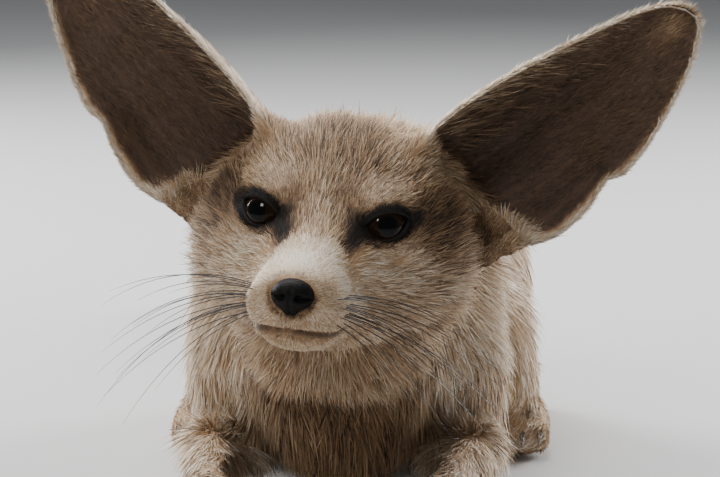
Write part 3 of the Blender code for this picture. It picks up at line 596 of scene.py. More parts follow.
neckness = eased((~onHead).astype(float), 12)
neckness[earness > 0] = 0
tones = toneAt(headSpots, bodySpots, onTail, earness, earRow, earAcross, earInside, neckness)
tones = np.where(earness > 0, tones, eased(tones, 1))

# the lie of the coat
lie = np.tile((0.0, 1.0, -0.38), (len(points), 1))
front, high = (1 - ramp(bodySpots[:, 1], 30, 85))[:, None], ramp(bodySpots[:, 2], 62, 96)[:, None]
lie = lie * (1 - front) + front * ((1 - high) * (0.0, 0.12, -1.0) + high * (0.0, 1.0, 0.15))
lie[:, 0] += np.clip(bodySpots[:, 0] / 30, -1, 1) * 0.12
fromNose = unit(unit(headSpots - (0, -46, -20)) + np.array((0, 0.30, 0.0)))
for side in (1, -1):  # the hair parts round each eye as a stream round a stone
    away = (headSpots - (side * eyeSet["apart"], -6, 0)) * (1, 0.5, 1)
    far = np.linalg.norm(away, axis=1)
    away = away / far[:, None]
    pull = (8.5 / np.maximum(far, 8.5))[:, None] ** 2
    fromNose = fromNose - pull * (2 * np.sum(fromNose * away, axis=1)[:, None] * away - fromNose)
throat = (ramp(-headSpots[:, 2], 30, 38) * ramp(headSpots[:, 1], -34, -10))[:, None]
fromNose = fromNose * (1 - throat) + throat * np.array((0, 1.0, -0.25))
nape = ramp(headSpots[:, 1], 24, 48)[:, None]
fromNose = fromNose * (1 - nape) + nape * np.array((0, 1.0, -0.55))
lie[onHead] = swung(headFrame, fromNose)[onHead]
arm = ramp(bodySpots[:, 1] + 0.6 * bodySpots[:, 2], 34, 74)[:, None]
alongFore = arm * (0, -0.2, -1.0) + (1 - arm) * (0, -1.0, -0.25)
alongHind = np.where((bodySpots[:, 2] > 26)[:, None], (0, 0.35, -0.8), (0, -1.0, -0.15))
alongHind = np.where((normals[:, 1] > 0.5)[:, None], (0, 0.2, -1.0), alongHind)
lie[onFore] = alongFore[onFore]
lie[onHind] = alongHind[onHind]
tailLine = curveAt(tailPath, np.linspace(0, 1, 80))[:, :3]
tailRun = unit(np.gradient(tailLine, axis=0))
tailShare = np.clip((bodySpots[:, 1] - 226) / 236, 0, 1)
nearTail = np.clip((np.searchsorted(tailLine[:, 1], bodySpots[:, 1])), 0, 79)
lie[onTail] = tailRun[nearTail][onTail]
for _ in range(4):
    lie = eased(unit(lie - normals * np.sum(lie * normals, axis=1)[:, None]), 18)
for side in (1, -1):
    mine = (earSide == side) & (earness > 0)
    outward = np.stack([0.55 * (earAcross - 0.35), np.zeros(len(points)), np.ones(len(points))], -1)
    lie[mine] = lie[mine] * (1 - earness[mine, None]) + swung(earFrames[side], outward)[mine] * earness[mine, None]
lie = unit(lie - normals * np.sum(lie * normals, axis=1)[:, None])

# length, width, rise and how many tufts, by region
coatSet = {
    "headAt": (-50, -44, -34, -20, -6, 8, 24, 44, 60),
    "length": (1.3, 2.2, 3.4, 5.0, 7.2, 9.5, 12.0, 14.0, 15),
    "width": (0.22, 0.23, 0.25, 0.27, 0.29, 0.33, 0.37, 0.40, 0.44),
    "neck": (16.0, 0.46), "torso": (18.0, 0.50), "tail": (30.0, 0.58),
    "foreAt": (0, 0.3, 1), "foreLength": (3.4, 6.0, 13.0), "foreWidth": (0.30, 0.36, 0.46),
    "hindLength": (4.6, 9.0, 15.0), "hindWidth": (0.32, 0.40, 0.50),
    "earInner": (3.4, 0.22), "earOuter": (5.0, 0.27),
}
lengths = np.full(len(points), coatSet["torso"][0])
widths = np.full(len(points), coatSet["torso"][1])
lengths[owner["neck"]], widths[owner["neck"]] = coatSet["neck"]
lengths[onHead] = np.interp(headSpots[onHead, 1], coatSet["headAt"], coatSet["length"])
widths[onHead] = np.interp(headSpots[onHead, 1], coatSet["headAt"], coatSet["width"])
lengths[onFore] = np.interp(foreShare[onFore], coatSet["foreAt"], coatSet["foreLength"])
widths[onFore] = np.interp(foreShare[onFore], coatSet["foreAt"], coatSet["foreWidth"])
lengths[onHind] = np.interp(hindShare[onHind], coatSet["foreAt"], coatSet["hindLength"])
widths[onHind] = np.interp(hindShare[onHind], coatSet["foreAt"], coatSet["hindWidth"])
lengths[onTail] = coatSet["tail"][0] * (1 - 0.35 * ramp(bodySpots[onTail, 1], 420, 460)) * ramp(
    bodySpots[onTail, 1], 225, 290
) + 14 * (1 - ramp(bodySpots[onTail, 1], 225, 290))
widths[onTail] = coatSet["tail"][1]
lengths, widths = eased(lengths, 12), eased(widths, 12)
earLength = coatSet["earInner"][0] * earInside + coatSet["earOuter"][0] * (1 - earInside)
earWidth = coatSet["earInner"][1] * earInside + coatSet["earOuter"][1] * (1 - earInside)
lengths += (earLength - lengths) * earness
widths += (earWidth - widths) * earness
nearEye = (1 - ramp(eyeAway, 9.5, 20)) * (1 - earness)
lengths *= 1 - 0.58 * nearEye
widths *= 1 - 0.25 * nearEye
lifts = 1 - 0.45 * nearEye
gap, wide = mouthGap(headSpots)
nearLip = np.exp(-((gap / 1.4) ** 2)) * wide * (headSpots[:, 1] < -16)
lengths *= 1 - 0.55 * nearLip
lifts *= 1 - 0.5 * nearLip
for side in (1, -1):  # short, flat hair round the two corners where each ear leaves the head
    for corner, reach in (((-18, 3, 2), 18), ((22, 4, 1), 22)):
        away = np.linalg.norm(earSpots[side] - corner, axis=1)
        close = 1 - ramp(away, 0.35 * reach, reach)
        lifts *= 1 - 0.4 * close
        lengths *= 1 - 0.35 * close
ruff = onHead * (1 - earness) * ramp(np.abs(headSpots[:, 0]), 20, 34) * ramp(headSpots[:, 1], -12, 6)
ruff *= 1 - ramp(headSpots[:, 2], -8, 12)
ruff = eased(ruff, 6)
lengths *= 1 + 0.45 * ruff
lifts *= 1 + 0.45 * ruff
hollow = np.sum((eased(points, 8) - points) * normals, axis=1)  # above 0 where the form is hollow
hollow = ramp(eased(hollow, 3), 0.02, 0.35) * np.maximum(1 - ramp(bodySpots[:, 1], 50, 72), onHind)
lifts *= 1 + (2.2 - 0.7 * ramp(lengths, 7, 12)) * hollow
lengths *= 1 - 0.5 * ramp(lengths, 4, 8) * hollow
elbow = np.abs(bodySpots) * (1, 0, 0) + bodySpots * (0, 1, 1)
elbow = np.exp(-(np.sum(((elbow - (38, 68, 29)) / (14, 12, 11)) ** 2, axis=1) ** 1.5))  # the fold over the forearm
lifts *= 1 + 3.2 * elbow
lengths *= 1 - 0.35 * elbow

bare = np.zeros(len(points))  # where nothing grows: the lids' opening, the lips' line and the nose's seat
for side in (1, -1):
    gap, q = openingGap(points, side, 0.3)
    bare = np.maximum(bare, 1 - ramp(gap, 1.0, 1.1))
gap, wide = mouthGap(headSpots)
bare = np.maximum(bare, np.exp(-((gap / 0.45) ** 2)) * wide * (headSpots[:, 1] < -14))
noseAway = np.linalg.norm((headSpots - (0, -45.4, -21.6)) / (6.9, 6.4, 5.4), axis=1)
bare = np.maximum(bare, 1 - ramp(noseAway, 0.60, 0.70))
print("coat mapped")


# an unwrap of the skin's own shape, which the tufts borrow
def unwrap(obj):
    obj.data.uv_layers.new(name="OFBake")
    bpy.ops.object.select_all(action="DESELECT")
    bpy.context.view_layer.objects.active = obj
    obj.select_set(True)
    bpy.ops.object.mode_set(mode="EDIT")
    bpy.ops.mesh.select_all(action="SELECT")
    bpy.ops.uv.smart_project(angle_limit=math.radians(72), island_margin=0.001)
    bpy.ops.object.mode_set(mode="OBJECT")
    spots = np.empty(len(obj.data.loops) * 2, np.float32)
    obj.data.uv_layers["OFBake"].data.foreach_get("uv", spots)
    return spots.reshape(-1, 3, 2).astype(float)


cornerMap = unwrap(skin)
print("skin unwrapped")

a, b, c = (points[triangles[:, k]] for k in range(3))
areas = np.linalg.norm(np.cross(b - a, c - a), axis=1) / 2


# tufts
def scattered(count, weights):
    # even random spots over the skin, more where the weights are larger
    total = np.cumsum(areas * weights)
    picks = (np.arange(count) + chance.random(count)) / count * total[-1]
    chosen = np.minimum(np.searchsorted(total, picks), len(areas) - 1)
    u, v = chance.random(count), chance.random(count)
    over = u + v > 1
    u[over], v[over] = 1 - u[over], 1 - v[over]
    return chosen, np.stack([1 - u - v, u, v], -1)


def atSpots(values, chosen, shares):
    picked = np.asarray(values)[triangles[chosen]]
    return np.einsum("nk...,nk->n...", picked, shares)


def rodrigues(vectors, axes, angles):
    c, s = np.cos(angles)[:, None], np.sin(angles)[:, None]
    return vectors * c + np.cross(axes, vectors) * s + axes * np.sum(axes * vectors, axis=1)[:, None] * (1 - c)


def bladesOf(spots, steps):
    # bent, pointed blades, one for each row of spots
    root, out, run = spots["root"], unit(spots["out"]), unit(spots["run"])
    count = len(root)
    length, width = spots["length"], spots["width"]
    run = unit(rodrigues(run, out, spots["sway"]))
    across = np.cross(run, out)
    across = unit(across * np.cos(spots["roll"])[:, None] + out * np.sin(spots["roll"])[:, None])
    rise, curl = spots["rise"], spots["curl"]
    rings, soft = [], []
    shares = np.arange(steps) / steps
    for t in shares:
        middle = root - out * 0.25 + run * (length * t)[:, None]
        middle = middle + out * (length * (rise * t - curl * t * t))[:, None]
        half = (width / 2 * (0.62 + 1.15 * t - 1.45 * t * t))[:, None]
        rings += [middle - across * half, middle + across * half]
        soft += [unit(out - across * 0.45), unit(out + across * 0.45)]
    rings.append(root + run * length[:, None] + out * (length * (rise - curl))[:, None])
    soft.append(out)
    per = 2 * steps + 1
    places = np.stack(rings, 1).reshape(-1, 3)
    ground = np.repeat(0.3 + 0.7 * spots["strand"], per)
    places[:, 2] = np.maximum(places[:, 2], ground)  # what would pass through the floor lies on it
    faces = []
    for p in range(0, 2 * steps - 2, 2):
        faces += [(p, p + 1, p + 3), (p, p + 3, p + 2)]
    faces.append((2 * steps - 2, 2 * steps - 1, 2 * steps))
    faces = (np.array(faces)[None] + np.arange(count)[:, None, None] * per).reshape(-1, 3)
    patch = 0.0015  # half of a tuft's patch on the map
    spread = np.array([[j * patch * (1 - t / 2), (t * 2 - 1) * patch] for t in shares for j in (-1, 1)] + [[0, patch]])
    marks = np.repeat(spots["map"], per, axis=0) + np.tile(spread, (count, 1))
    return {
        "places": places, "faces": faces, "soft": np.stack(soft, 1).reshape(-1, 3), "marks": np.clip(marks, 0, 1),
        "along": np.tile(np.append(np.repeat(shares, 2), 1.0), count),
        "tone": np.repeat(spots["tone"], per), "strand": np.repeat(spots["strand"], per),
    }


def growTufts(name, layers, slot, material):
    # one piece from layers of blades, each given as its spots and the steps along a blade
    parts = [bladesOf(spots, steps) for spots, steps in layers]
    starts = np.cumsum([0] + [len(part["places"]) for part in parts])
    faces = np.concatenate([part["faces"] + start for part, start in zip(parts, starts)])
    whole = {key: np.concatenate([part[key] for part in parts]) for key in parts[0] if key != "faces"}
    obj = meshFrom(name, whole["places"], faces)
    layer = obj.data.uv_layers.new(name="OFBake")
    layer.data.foreach_set("uv", whole["marks"][faces.ravel()].astype(np.float32).ravel())
    putValues(obj, **{key: whole[key] for key in ("tone", "along", "strand")})
    obj.data.normals_split_custom_set_from_vertices(whole["soft"])
    obj.data.materials.append(material)
    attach(obj, "root")
    return obj


def spotsOn(count, weights, rise=0.22, curl=0.10, sway=0.16, roll=0.5, clump=5.0, wave=0.22, spread=0.2, guard=0.07):
    chosen, shares = scattered(count, weights)
    spots = {key: atSpots(values, chosen, shares) for key, values in fields.items()}
    spots["map"] = np.einsum("nkd,nk->nd", cornerMap[chosen], shares)
    grain = ridges(spots["root"], clump, 3.1)
    spots["length"] = spots["length"] * (0.78 + 0.44 * chance.random(count)) * (1 + 0.12 * grain)
    spots["width"] = spots["width"] * (0.75 + 0.5 * chance.random(count))
    spots["sway"] = sway * chance.standard_normal(count) + wave * ridges(spots["root"], clump, 9.7)
    spots["roll"] = roll * chance.standard_normal(count)
    spots["rise"] = (rise * (0.7 + 0.6 * chance.random(count)) + 0.06 * grain) * spots["lift"]
    spots["curl"] = curl * np.clip(spots["lift"], 0, 1)
    spots["strand"] = np.clip(0.54 + spread * chance.standard_normal(count) + 0.14 * grain, 0, 1)
    dark = chance.random(count) < guard  # scattered darker guard hairs
    spots["strand"] = np.where(dark, 0.12 * chance.random(count), spots["strand"])
    spots["length"] = np.where(dark, spots["length"] * 1.15, spots["length"])
    return spots


fields = {"root": points, "out": normals, "run": lie, "length": lengths, "width": widths, "tone": tones, "lift": lifts}


# finishes, written as expressions on sockets
class Wire:
    def __init__(self, finish, socket):
        self.finish, self.socket = finish, socket

    def math(self, how, other, flipped=False):
        first, second = (other, self) if flipped else (self, other)
        return self.finish.node("ShaderNodeMath", {"operation": how}, {0: first, 1: second})

    def __add__(self, other):
        return self.math("ADD", other)

    def __radd__(self, other):
        return self.math("ADD", other, True)

    def __sub__(self, other):
        return self.math("SUBTRACT", other)

    def __rsub__(self, other):
        return self.math("SUBTRACT", other, True)

    def __mul__(self, other):
        return self.math("MULTIPLY", other)

    def __rmul__(self, other):
        return self.math("MULTIPLY", other, True)

    def __truediv__(self, other):
        return self.math("DIVIDE", other)

    def __pow__(self, other):
        return self.math("POWER", other)


class Finish:
    def __init__(self, name, **shaderValues):
        self.material = bpy.data.materials.new(name)
        self.material.use_nodes = True
        self.tree = self.material.node_tree
        self.shader = self.tree.nodes["Principled BSDF"]
        for key, value in shaderValues.items():
            self.shader.inputs[key].default_value = value

    def node(self, kind, settings, inputs, out=0):
        made = self.tree.nodes.new(kind)
        for key, value in settings.items():
            if key == "stops":
                stops = made.color_ramp.elements
                while len(stops) < len(value):
                    stops.new(0.5)
                for stop, (place, colour) in zip(stops, value):
                    stop.position, stop.color = place, (*colour, 1)
            else:
                setattr(made, key, value)
        for key, value in inputs.items():
            if isinstance(value, Wire):
                self.tree.links.new(value.socket, made.inputs[key])
            else:
                made.inputs[key].default_value = value
        return Wire(self, made.outputs[out])

    def value(self, name):
        return self.node("ShaderNodeAttribute", {"attribute_name": name}, {}, "Fac")

    def place(self):
        return self.node("ShaderNodeTexCoord", {}, {}, "Object")

    def noise(self, scale, detail=3.0, where=None, rough=0.55):
        inputs = {"Vector": where or self.place(), "Scale": scale, "Detail": detail, "Roughness": rough}
        return self.node("ShaderNodeTexNoise", {}, inputs, "Fac")

    def ramp(self, share, stops):
        return self.node("ShaderNodeValToRGB", {"stops": stops}, {"Fac": share})

    def mix(self, one, two, share, how="MIX"):
        settings = {"data_type": "RGBA", "blend_type": how}
        return self.node("ShaderNodeMix", settings, {0: share, 6: one, 7: two}, 2)

    def feed(self, **links):
        for key, wire in links.items():
            self.tree.links.new(wire.socket, self.shader.inputs[key.replace("_", " ")])
        return self.material

    def bump(self, height, strength, distance):
        inputs = {"Height": height, "Strength": strength, "Distance": distance}
        return self.node("ShaderNodeBump", {}, inputs, "Normal")


# sandy fennec colours from black to cream
furStops = [
    (0.0, (0.005, 0.004, 0.003)), (0.14, (0.026, 0.016, 0.010)), (0.34, (0.125, 0.073, 0.040)),
    (0.55, (0.370, 0.222, 0.115)), (0.75, (0.660, 0.470, 0.290)), (1.0, (0.920, 0.840, 0.710)),
]
furSet = {"strandSpread": 0.50, "rootShade": 0.26, "patchiness": 0.12}


def furFinish():
    finish = Finish("fennec fur", Roughness=0.62)
    finish.shader.inputs["Specular IOR Level"].default_value = 0.28
    finish.shader.inputs["Sheen Weight"].default_value = 0.08
    finish.shader.inputs["Sheen Roughness"].default_value = 0.4
    tone = finish.value("tone")
    strand = finish.value("strand") - 0.5
    along = finish.value("along") - 0.5
    cloudy = finish.noise(160.0, 2.0) - 0.5
    room = tone * (1.25 - tone) * 2.6
    # painted shade: along each tuft the colour runs darker at the root and lighter at the tip, as if the under-fur lay
    # in shade
    value = tone + room * (strand * furSet["strandSpread"] + along * furSet["rootShade"] + cloudy * furSet["patchiness"])
    return finish.feed(Base_Color=finish.ramp(value, furStops))


def skinFinish():
    finish = Finish("fennec skin", Roughness=0.7)
    finish.shader.inputs["Specular IOR Level"].default_value = 0.25
    tone = finish.value("tone")
    fine = finish.noise(1500.0, 2.0)
    streak = finish.value("streak")
    # painted shade: the skin is darker than the coat's tone (0.72 to 0.96 of it), standing in for the shadow between
    # the hairs
    value = tone * (0.72 + 0.24 * fine) + streak * 0.10
    colour = finish.ramp(value, furStops)
    pink = finish.value("inner")
    flesh = finish.mix(colour, (0.20, 0.115, 0.085, 1), pink * 0.25)
    height = fine * 0.6 + finish.noise(700.0, 2.0) * 0.4 + streak
    return finish.feed(Base_Color=flesh, Normal=finish.bump(height, 0.35, 0.0006))


furMaterial, skinMaterial = furFinish(), skinFinish()
innerEar = earInside * earness
streaks = innerEar * np.sin(earAcross * 95 + 2.2 * np.sin(earRow * 7)) * 0.5
putValues(skin, tone=tones, inner=innerEar, streak=streaks)
skin.data.materials.clear()
skin.data.materials.append(skinMaterial)
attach(skin, "root")
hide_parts(*fleshNodes, "tail_brush", "ear_left", "ear_right")

# the coat, piece by piece
perTriangle = lambda values: values[triangles].mean(axis=1)
free = perTriangle((bare < 0.35).astype(float)) > 0.99
headTri, faceY = perTriangle(onHead.astype(float)) > 0.5, perTriangle(headSpots[:, 1])
headX = perTriangle(headSpots[:, 0])
earTri, tailTri = perTriangle(earness) > 0.5, perTriangle(onTail.astype(float)) > 0.5
foreTri, hindTri = perTriangle(onFore.astype(float)) > 0.5, perTriangle(onHind.astype(float)) > 0.5
bodyX, bodyY = perTriangle(bodySpots[:, 0]), perTriangle(bodySpots[:, 1])
smaller = 1 / perTriangle(np.maximum(lengths * widths, 0.3))  # short fine fur needs more tufts
noseNear = 1 - ramp(noseAway, 1.1, 1.8)
smaller *= 1 + perTriangle(0.9 * nearEye + 0.8 * noseNear + 0.9 * hollow + 0.5 * elbow)
trunkTri = ~(headTri | earTri | tailTri | foreTri | hindTri)
coatLayers = {"long": 0.60, "fine": 1.12, "fineLength": 0.72, "fineWidth": 1.15, "fineRise": 0.75}
coatPieces = {
    "coat_muzzle": (headTri & ~earTri & (faceY < -14), 40000, {"rise": 0.20, "curl": 0.10, "roll": 0.4, "spread": 0.24}),
    "coat_face": (headTri & ~earTri & (faceY >= -14) & (faceY < 10), 60000, {"rise": 0.22, "curl": 0.10, "spread": 0.34}),
    "coat_head_left": (headTri & ~earTri & (faceY >= 10) & (headX > 0), 36000, {"rise": 0.26, "curl": 0.12}),
    "coat_head_right": (headTri & ~earTri & (faceY >= 10) & (headX <= 0), 36000, {"rise": 0.26, "curl": 0.12}),
    "coat_ear_left": (earTri & (headX > 0), 36000, {"rise": 0.16, "curl": 0.05}),
    "coat_ear_right": (earTri & (headX <= 0), 36000, {"rise": 0.16, "curl": 0.05}),
    "coat_neck": (trunkTri & (bodyY < 72), 45000, {"rise": 0.30, "curl": 0.14, "clump": 9}),
    "coat_back_left": (trunkTri & (bodyY >= 72) & (bodyX > 0), 46000, {"rise": 0.30, "curl": 0.14, "clump": 10}),
    "coat_back_right": (trunkTri & (bodyY >= 72) & (bodyX <= 0), 46000, {"rise": 0.30, "curl": 0.14, "clump": 10}),
    "coat_forelegs": (foreTri, 30000, {"rise": 0.20, "clump": 7}),
    "coat_hindlegs": (hindTri, 34000, {"rise": 0.22, "clump": 8}),
    "coat_tail": (tailTri, 34000, {"rise": 0.34, "curl": 0.12, "clump": 12, "wave": 0.3}),
}
for name, (where, count, style) in coatPieces.items():
    weights = where * free * smaller
    over = spotsOn(int(count * coatLayers["long"]), weights, **style)
    under = spotsOn(int(count * coatLayers["fine"]), weights, **style)
    for key in ("length", "width", "rise"):
        under[key] = under[key] * coatLayers["fine" + key.capitalize()]
    growTufts(name, [(over, 2), (under, 1)], "ear" if "ear" in name else "coat", furMaterial)
    print(name, "grown")


# long hair on the ears' edges and over the opening
def earSpotsAt(side, row, across, outward, up):
    place = earFrames[side]
    here = earInner(row, across)
    du = earInner(row, np.minimum(across + 0.01, 1)) - earInner(row, np.maximum(across - 0.01, 0))
    dv = earInner(np.minimum(row + 0.01, 1), across) - earInner(np.maximum(row - 0.01, 0), across)
    inward = -unit(np.cross(dv, du))
    run = unit(unit(du) * outward[:, None] + unit(dv) * up[:, None])
    return outOf(place, here), swung(place, inward), swung(place, run)


def nearestMap(spots):
    tree = BVHTree.FromPolygons(points.tolist(), triangles.tolist())
    chosen = np.array([tree.find_nearest(p)[2] for p in spots.tolist()])
    return cornerMap[chosen].mean(axis=1)


fringeSet = {
    "rim": {"count": 5200, "length": (2.5, 4.5), "width": 0.24, "tone": 0.94},
    "rear": {"count": 3600, "length": (2.0, 3.8), "width": 0.24, "tone": 0.92},
    "fan": {"count": 3000, "length": (6.0, 15.0), "width": 0.17, "tone": 0.70},
}


def earFringe(side):
    groups = []
    for kind, style in fringeSet.items():
        count = style["count"]
        pick = chance.random(count)
        if kind == "rim":
            row, across = 0.17 + 0.83 * pick, np.full(count, 0.004)
            outward, up = -0.10 + 0.22 * chance.standard_normal(count), np.full(count, 1.0)
            taper = 1 - 0.45 * row
        elif kind == "rear":
            row, across = 0.10 + 0.90 * pick, np.full(count, 0.996)
            outward, up = 0.55 + 0.3 * chance.standard_normal(count), np.full(count, 1.0)
            taper = 1 - 0.3 * row
        else:
            row, across = 0.15 + 0.60 * pick**1.3, 0.02 + 0.36 * chance.random(count) ** 2.2
            outward, up = 0.75 + 0.25 * chance.standard_normal(count), np.full(count, 1.0)
            taper = 1.1 - 1.1 * row
        root, out, run = earSpotsAt(side, row, across, outward, up)
        low, high = style["length"]
        length = (low + (high - low) * chance.random(count)) * taper
        groups.append({
            "root": root, "out": out, "run": run, "length": length,
            "width": style["width"] * (0.7 + 0.6 * chance.random(count)),
            "sway": 0.1 * chance.standard_normal(count), "roll": 0.8 * chance.standard_normal(count),
            "rise": 0.10 + 0.14 * chance.random(count), "curl": np.full(count, 0.06),
            "tone": np.clip(style["tone"] - 0.25 * chance.random(count) ** 2 - 1.1 * across * (kind == "fan"), 0.1, 1),
            "strand": chance.random(count),
            "map": nearestMap(root),
        })
    growTufts("coat_ear_fringe_" + sideNames[side], [(group, 2) for group in groups], "ear", furMaterial)


for side in (1, -1):
    earFringe(side)
print("ear fringes grown")


# eyes and their lids
def eyeFinish():
    finish = Finish("eye", Roughness=0.05)
    finish.shader.inputs["Specular IOR Level"].default_value = 0.16
    ringShare = finish.value("ring")
    fibres = finish.noise(900.0, 3.0)
    stops = [
        (0.0, (0.002, 0.002, 0.002)), (0.30, (0.002, 0.002, 0.002)), (0.36, (0.012, 0.006, 0.003)),
        (0.62, (0.020, 0.010, 0.005)), (0.78, (0.006, 0.004, 0.003)), (0.88, (0.008, 0.006, 0.005)),
        (1.0, (0.03, 0.022, 0.018)),
    ]
    return finish.feed(Base_Color=finish.ramp(ringShare + (fibres - 0.5) * 0.05, stops))


def lidFinish():
    finish = Finish("eye rim", Roughness=0.6)
    finish.shader.inputs["Specular IOR Level"].default_value = 0.15
    fine = finish.noise(2600.0, 2.0)
    colour = finish.mix((0.006, 0.005, 0.005, 1), (0.022, 0.016, 0.013, 1), fine)
    return finish.feed(Base_Color=colour, Normal=finish.bump(fine, 0.3, 0.0002))


eyeMaterial, lidMaterial = eyeFinish(), lidFinish()


def makeEye(side):
    rings, sides = 48, 64
    polar = np.linspace(0, np.pi, rings)
    turn = np.linspace(0, 2 * np.pi, sides, endpoint=False)
    cornea = 0.55 * (1 - ramp(np.degrees(polar), 20, 44))
    far = eyeSet["radius"] - 0.1 + cornea
    x = np.sin(polar)[:, None] * np.cos(turn)[None]
    z = np.sin(polar)[:, None] * np.sin(turn)[None]
    y = np.repeat(-np.cos(polar)[:, None], sides, 1)
    spots = np.stack([x, y, z], -1) * far[:, None, None]
    eye = meshFrom("eyeball_" + sideNames[side], outOf(eyeFrames[side], spots.reshape(-1, 3)), gridFaces(rings, sides, True))
    putValues(eye, ring=np.repeat(np.clip(np.degrees(polar) / 62, 0, 1), sides))
    eye.data.materials.append(eyeMaterial)
    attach(eye, "root")
    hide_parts("eye_" + sideNames[side])


def lidEdge(share):
    # the almond opening, drawn round from the outer corner over the top
    angle = share * 2 * np.pi
    x = np.cos(angle)
    top = np.sin(angle) >= 0
    bow = np.clip(1 - x * x, 0, 1) ** np.where(top, 0.62, 0.8)
    z = np.where(top, bow * 0.80, -bow * 0.88) * eyeSet["halfHeight"]
    return x * eyeSet["halfWidth"], z


def lidLine(share, out, far):
    # points beside the opening's edge: out from the edge, and far from the eye's middle
    x, z = lidEdge(share)
    ahead, behind = (np.stack(lidEdge((share + step) % 1), -1) for step in (0.004, -0.004))
    along = unit(ahead - behind)
    outward = np.stack([along[:, 1], -along[:, 0]], -1)
    outward *= np.sign(outward[:, 0] * x + outward[:, 1] * z)[:, None]
    x, z = x + outward[:, 0] * out, z + outward[:, 1] * out
    y = -np.sqrt(np.maximum(far**2 - x * x - z * z, 1.0))
    return np.stack([x, y, z], -1), np.stack([outward[:, 0], np.zeros(len(x)), outward[:, 1]], -1)


lidSet = {
    "count": 96, "rows": [(-0.7, 7.85), (-0.5, 8.25), (-0.2, 8.75), (0.2, 9.1), (0.55, 9.15), (0.95, 8.9), (1.4, 8.3)],
    "lashes": 1500, "lashLength": (0.9, 1.8), "lashWidth": 0.16,
}


def makeLids(side):
    share = np.linspace(0, 1, lidSet["count"], endpoint=False)
    spots = np.concatenate([lidLine(share, out, far)[0] for out, far in lidSet["rows"]])
    faces = gridFaces(len(lidSet["rows"]), lidSet["count"], True)
    lids = meshFrom("lids_" + sideNames[side], outOf(eyeFrames[side], spots), faces)
    lids.data.materials.append(lidMaterial)
    modified(lids, ("SUBSURF", {"levels": 1}))
    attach(lids, "root")


def makeLashes(side):
    # short black hair that lies outward over the lid's outer half
    count = lidSet["lashes"]
    root, run = lidLine(chance.random(count), 0.35 + 1.4 * chance.random(count), 9.05)
    low, high = lidSet["lashLength"]
    root, run, out = (change(eyeFrames[side], v) for change, v in ((outOf, root), (swung, run), (swung, unit(root))))
    spots = {
        "root": root, "out": out, "run": unit(run + 0.35 * swung(headFrame, np.tile((side * 0.4, 0, 0.5), (count, 1)))),
        "length": low + (high - low) * chance.random(count), "width": np.full(count, lidSet["lashWidth"]),
        "sway": 0.25 * chance.standard_normal(count), "roll": 0.6 * chance.standard_normal(count),
        "rise": 0.20 + 0.12 * chance.random(count), "curl": np.full(count, 0.14),
        "tone": np.full(count, 0.03), "strand": chance.random(count), "map": nearestMap(root),
    }
    growTufts("coat_lashes_" + sideNames[side], [(spots, 2)], "coat", furMaterial)


for side in (1, -1):
    makeEye(side)
    makeLids(side)
    makeLashes(side)
print("eyes set")


# nose, claws and whiskers
def leatherFinish():
    finish = Finish("nose leather", Roughness=0.46)
    finish.shader.inputs["Specular IOR Level"].default_value = 0.06
    pebbles = finish.node(
        "ShaderNodeTexVoronoi", {"feature": "DISTANCE_TO_EDGE"}, {"Vector": finish.place(), "Scale": 1500.0}, "Distance"
    )
    fine = finish.noise(900.0, 3.0)
    colour = finish.mix((0.004, 0.004, 0.004, 1), (0.016, 0.014, 0.013, 1), fine)
    return finish.feed(Base_Color=colour, Normal=finish.bump(pebbles, 0.5, 0.0003))


def clawFinish():
    finish = Finish("claw horn", Roughness=0.35)
    fine = finish.noise(500.0, 3.0)
    colour = finish.mix((0.035, 0.025, 0.018, 1), (0.14, 0.10, 0.075, 1), fine)
    return finish.feed(Base_Color=colour, Normal=finish.bump(fine, 0.2, 0.0002))


def makeNose():
    bm = bmesh.new()
    addBall(bm, (0, -44.8, -21.0), (6.5, 5.6, 4.9), place=headFrame, segments=64)
    addBall(bm, (0, -43.6, -23.4), (3.6, 4.6, 4.4), place=headFrame, segments=48)
    mesh = bpy.data.meshes.new("nose_pad")
    bm.to_mesh(mesh)
    bm.free()
    nose = bpy.data.objects.new("nose_pad", mesh)
    bpy.context.scene.collection.objects.link(nose)
    modified(nose, ("REMESH", {"mode": "VOXEL", "voxel_size": 0.32 * mm}))
    modified(nose, ("SMOOTH", {"factor": 0.5, "iterations": 6}))
    spots, _ = arraysOf(nose.data)
    local = into(headFrame, spots)
    middle = np.array((0, -44.0, -21.5))
    inward = unit(middle - local)
    x, y, z = local.T
    push = 0.55 * np.exp(-((x / 0.55) ** 2)) * (y < -44) * ramp(-z, 17, 22)
    for side in (1, -1):
        for sweep in range(9):  # each nostril is a comma that curls out and back
            share = sweep / 8
            px, pz = side * (2.5 + 3.2 * share), -21.6 - 0.3 * share + 1.4 * share * share - 0.9 * share
            wide = 1.05 * (1 - 0.62 * share)
            away = np.hypot(x - px, z - pz) / wide
            push = np.maximum(push, 2.2 * (1 - 0.5 * share) * np.exp(-(away**4)) * (y < -41))
    local = local + inward * push[:, None]
    nose.data.vertices.foreach_set("co", (outOf(headFrame, local) * mm).astype(np.float32).ravel())
    nose.data.update()
    nose.data.shade_smooth()
    nose.data.materials.clear()
    nose.data.materials.append(leatherFinish())
    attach(nose, "root")
    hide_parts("nose")


makeNose()
clawMaterial = clawFinish()
for name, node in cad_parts.items():
    if name.startswith("claw"):
        node.data.materials.clear()
        node.data.materials.append(clawMaterial)
        node.data.shade_smooth()
        rounder = node.modifiers.new("rounder", "SUBSURF")
        rounder.levels = rounder.render_levels = 1
print("nose and claws done")

# rows of roots on the lip, front to back, and how each row's whiskers sweep, in the head's frame
whiskerSet = {
    "rows": [(-21.0, 4), (-23.6, 5), (-26.2, 5), (-28.6, 3)],
    "length": (24, 60), "thick": 0.15, "droop": 0.42,
}


def whiskerFinish():
    finish = Finish("whisker", Roughness=0.4)
    fine = finish.noise(300.0, 2.0)
    return finish.feed(Base_Color=finish.mix((0.010, 0.008, 0.007, 1), (0.03, 0.022, 0.018, 1), fine))


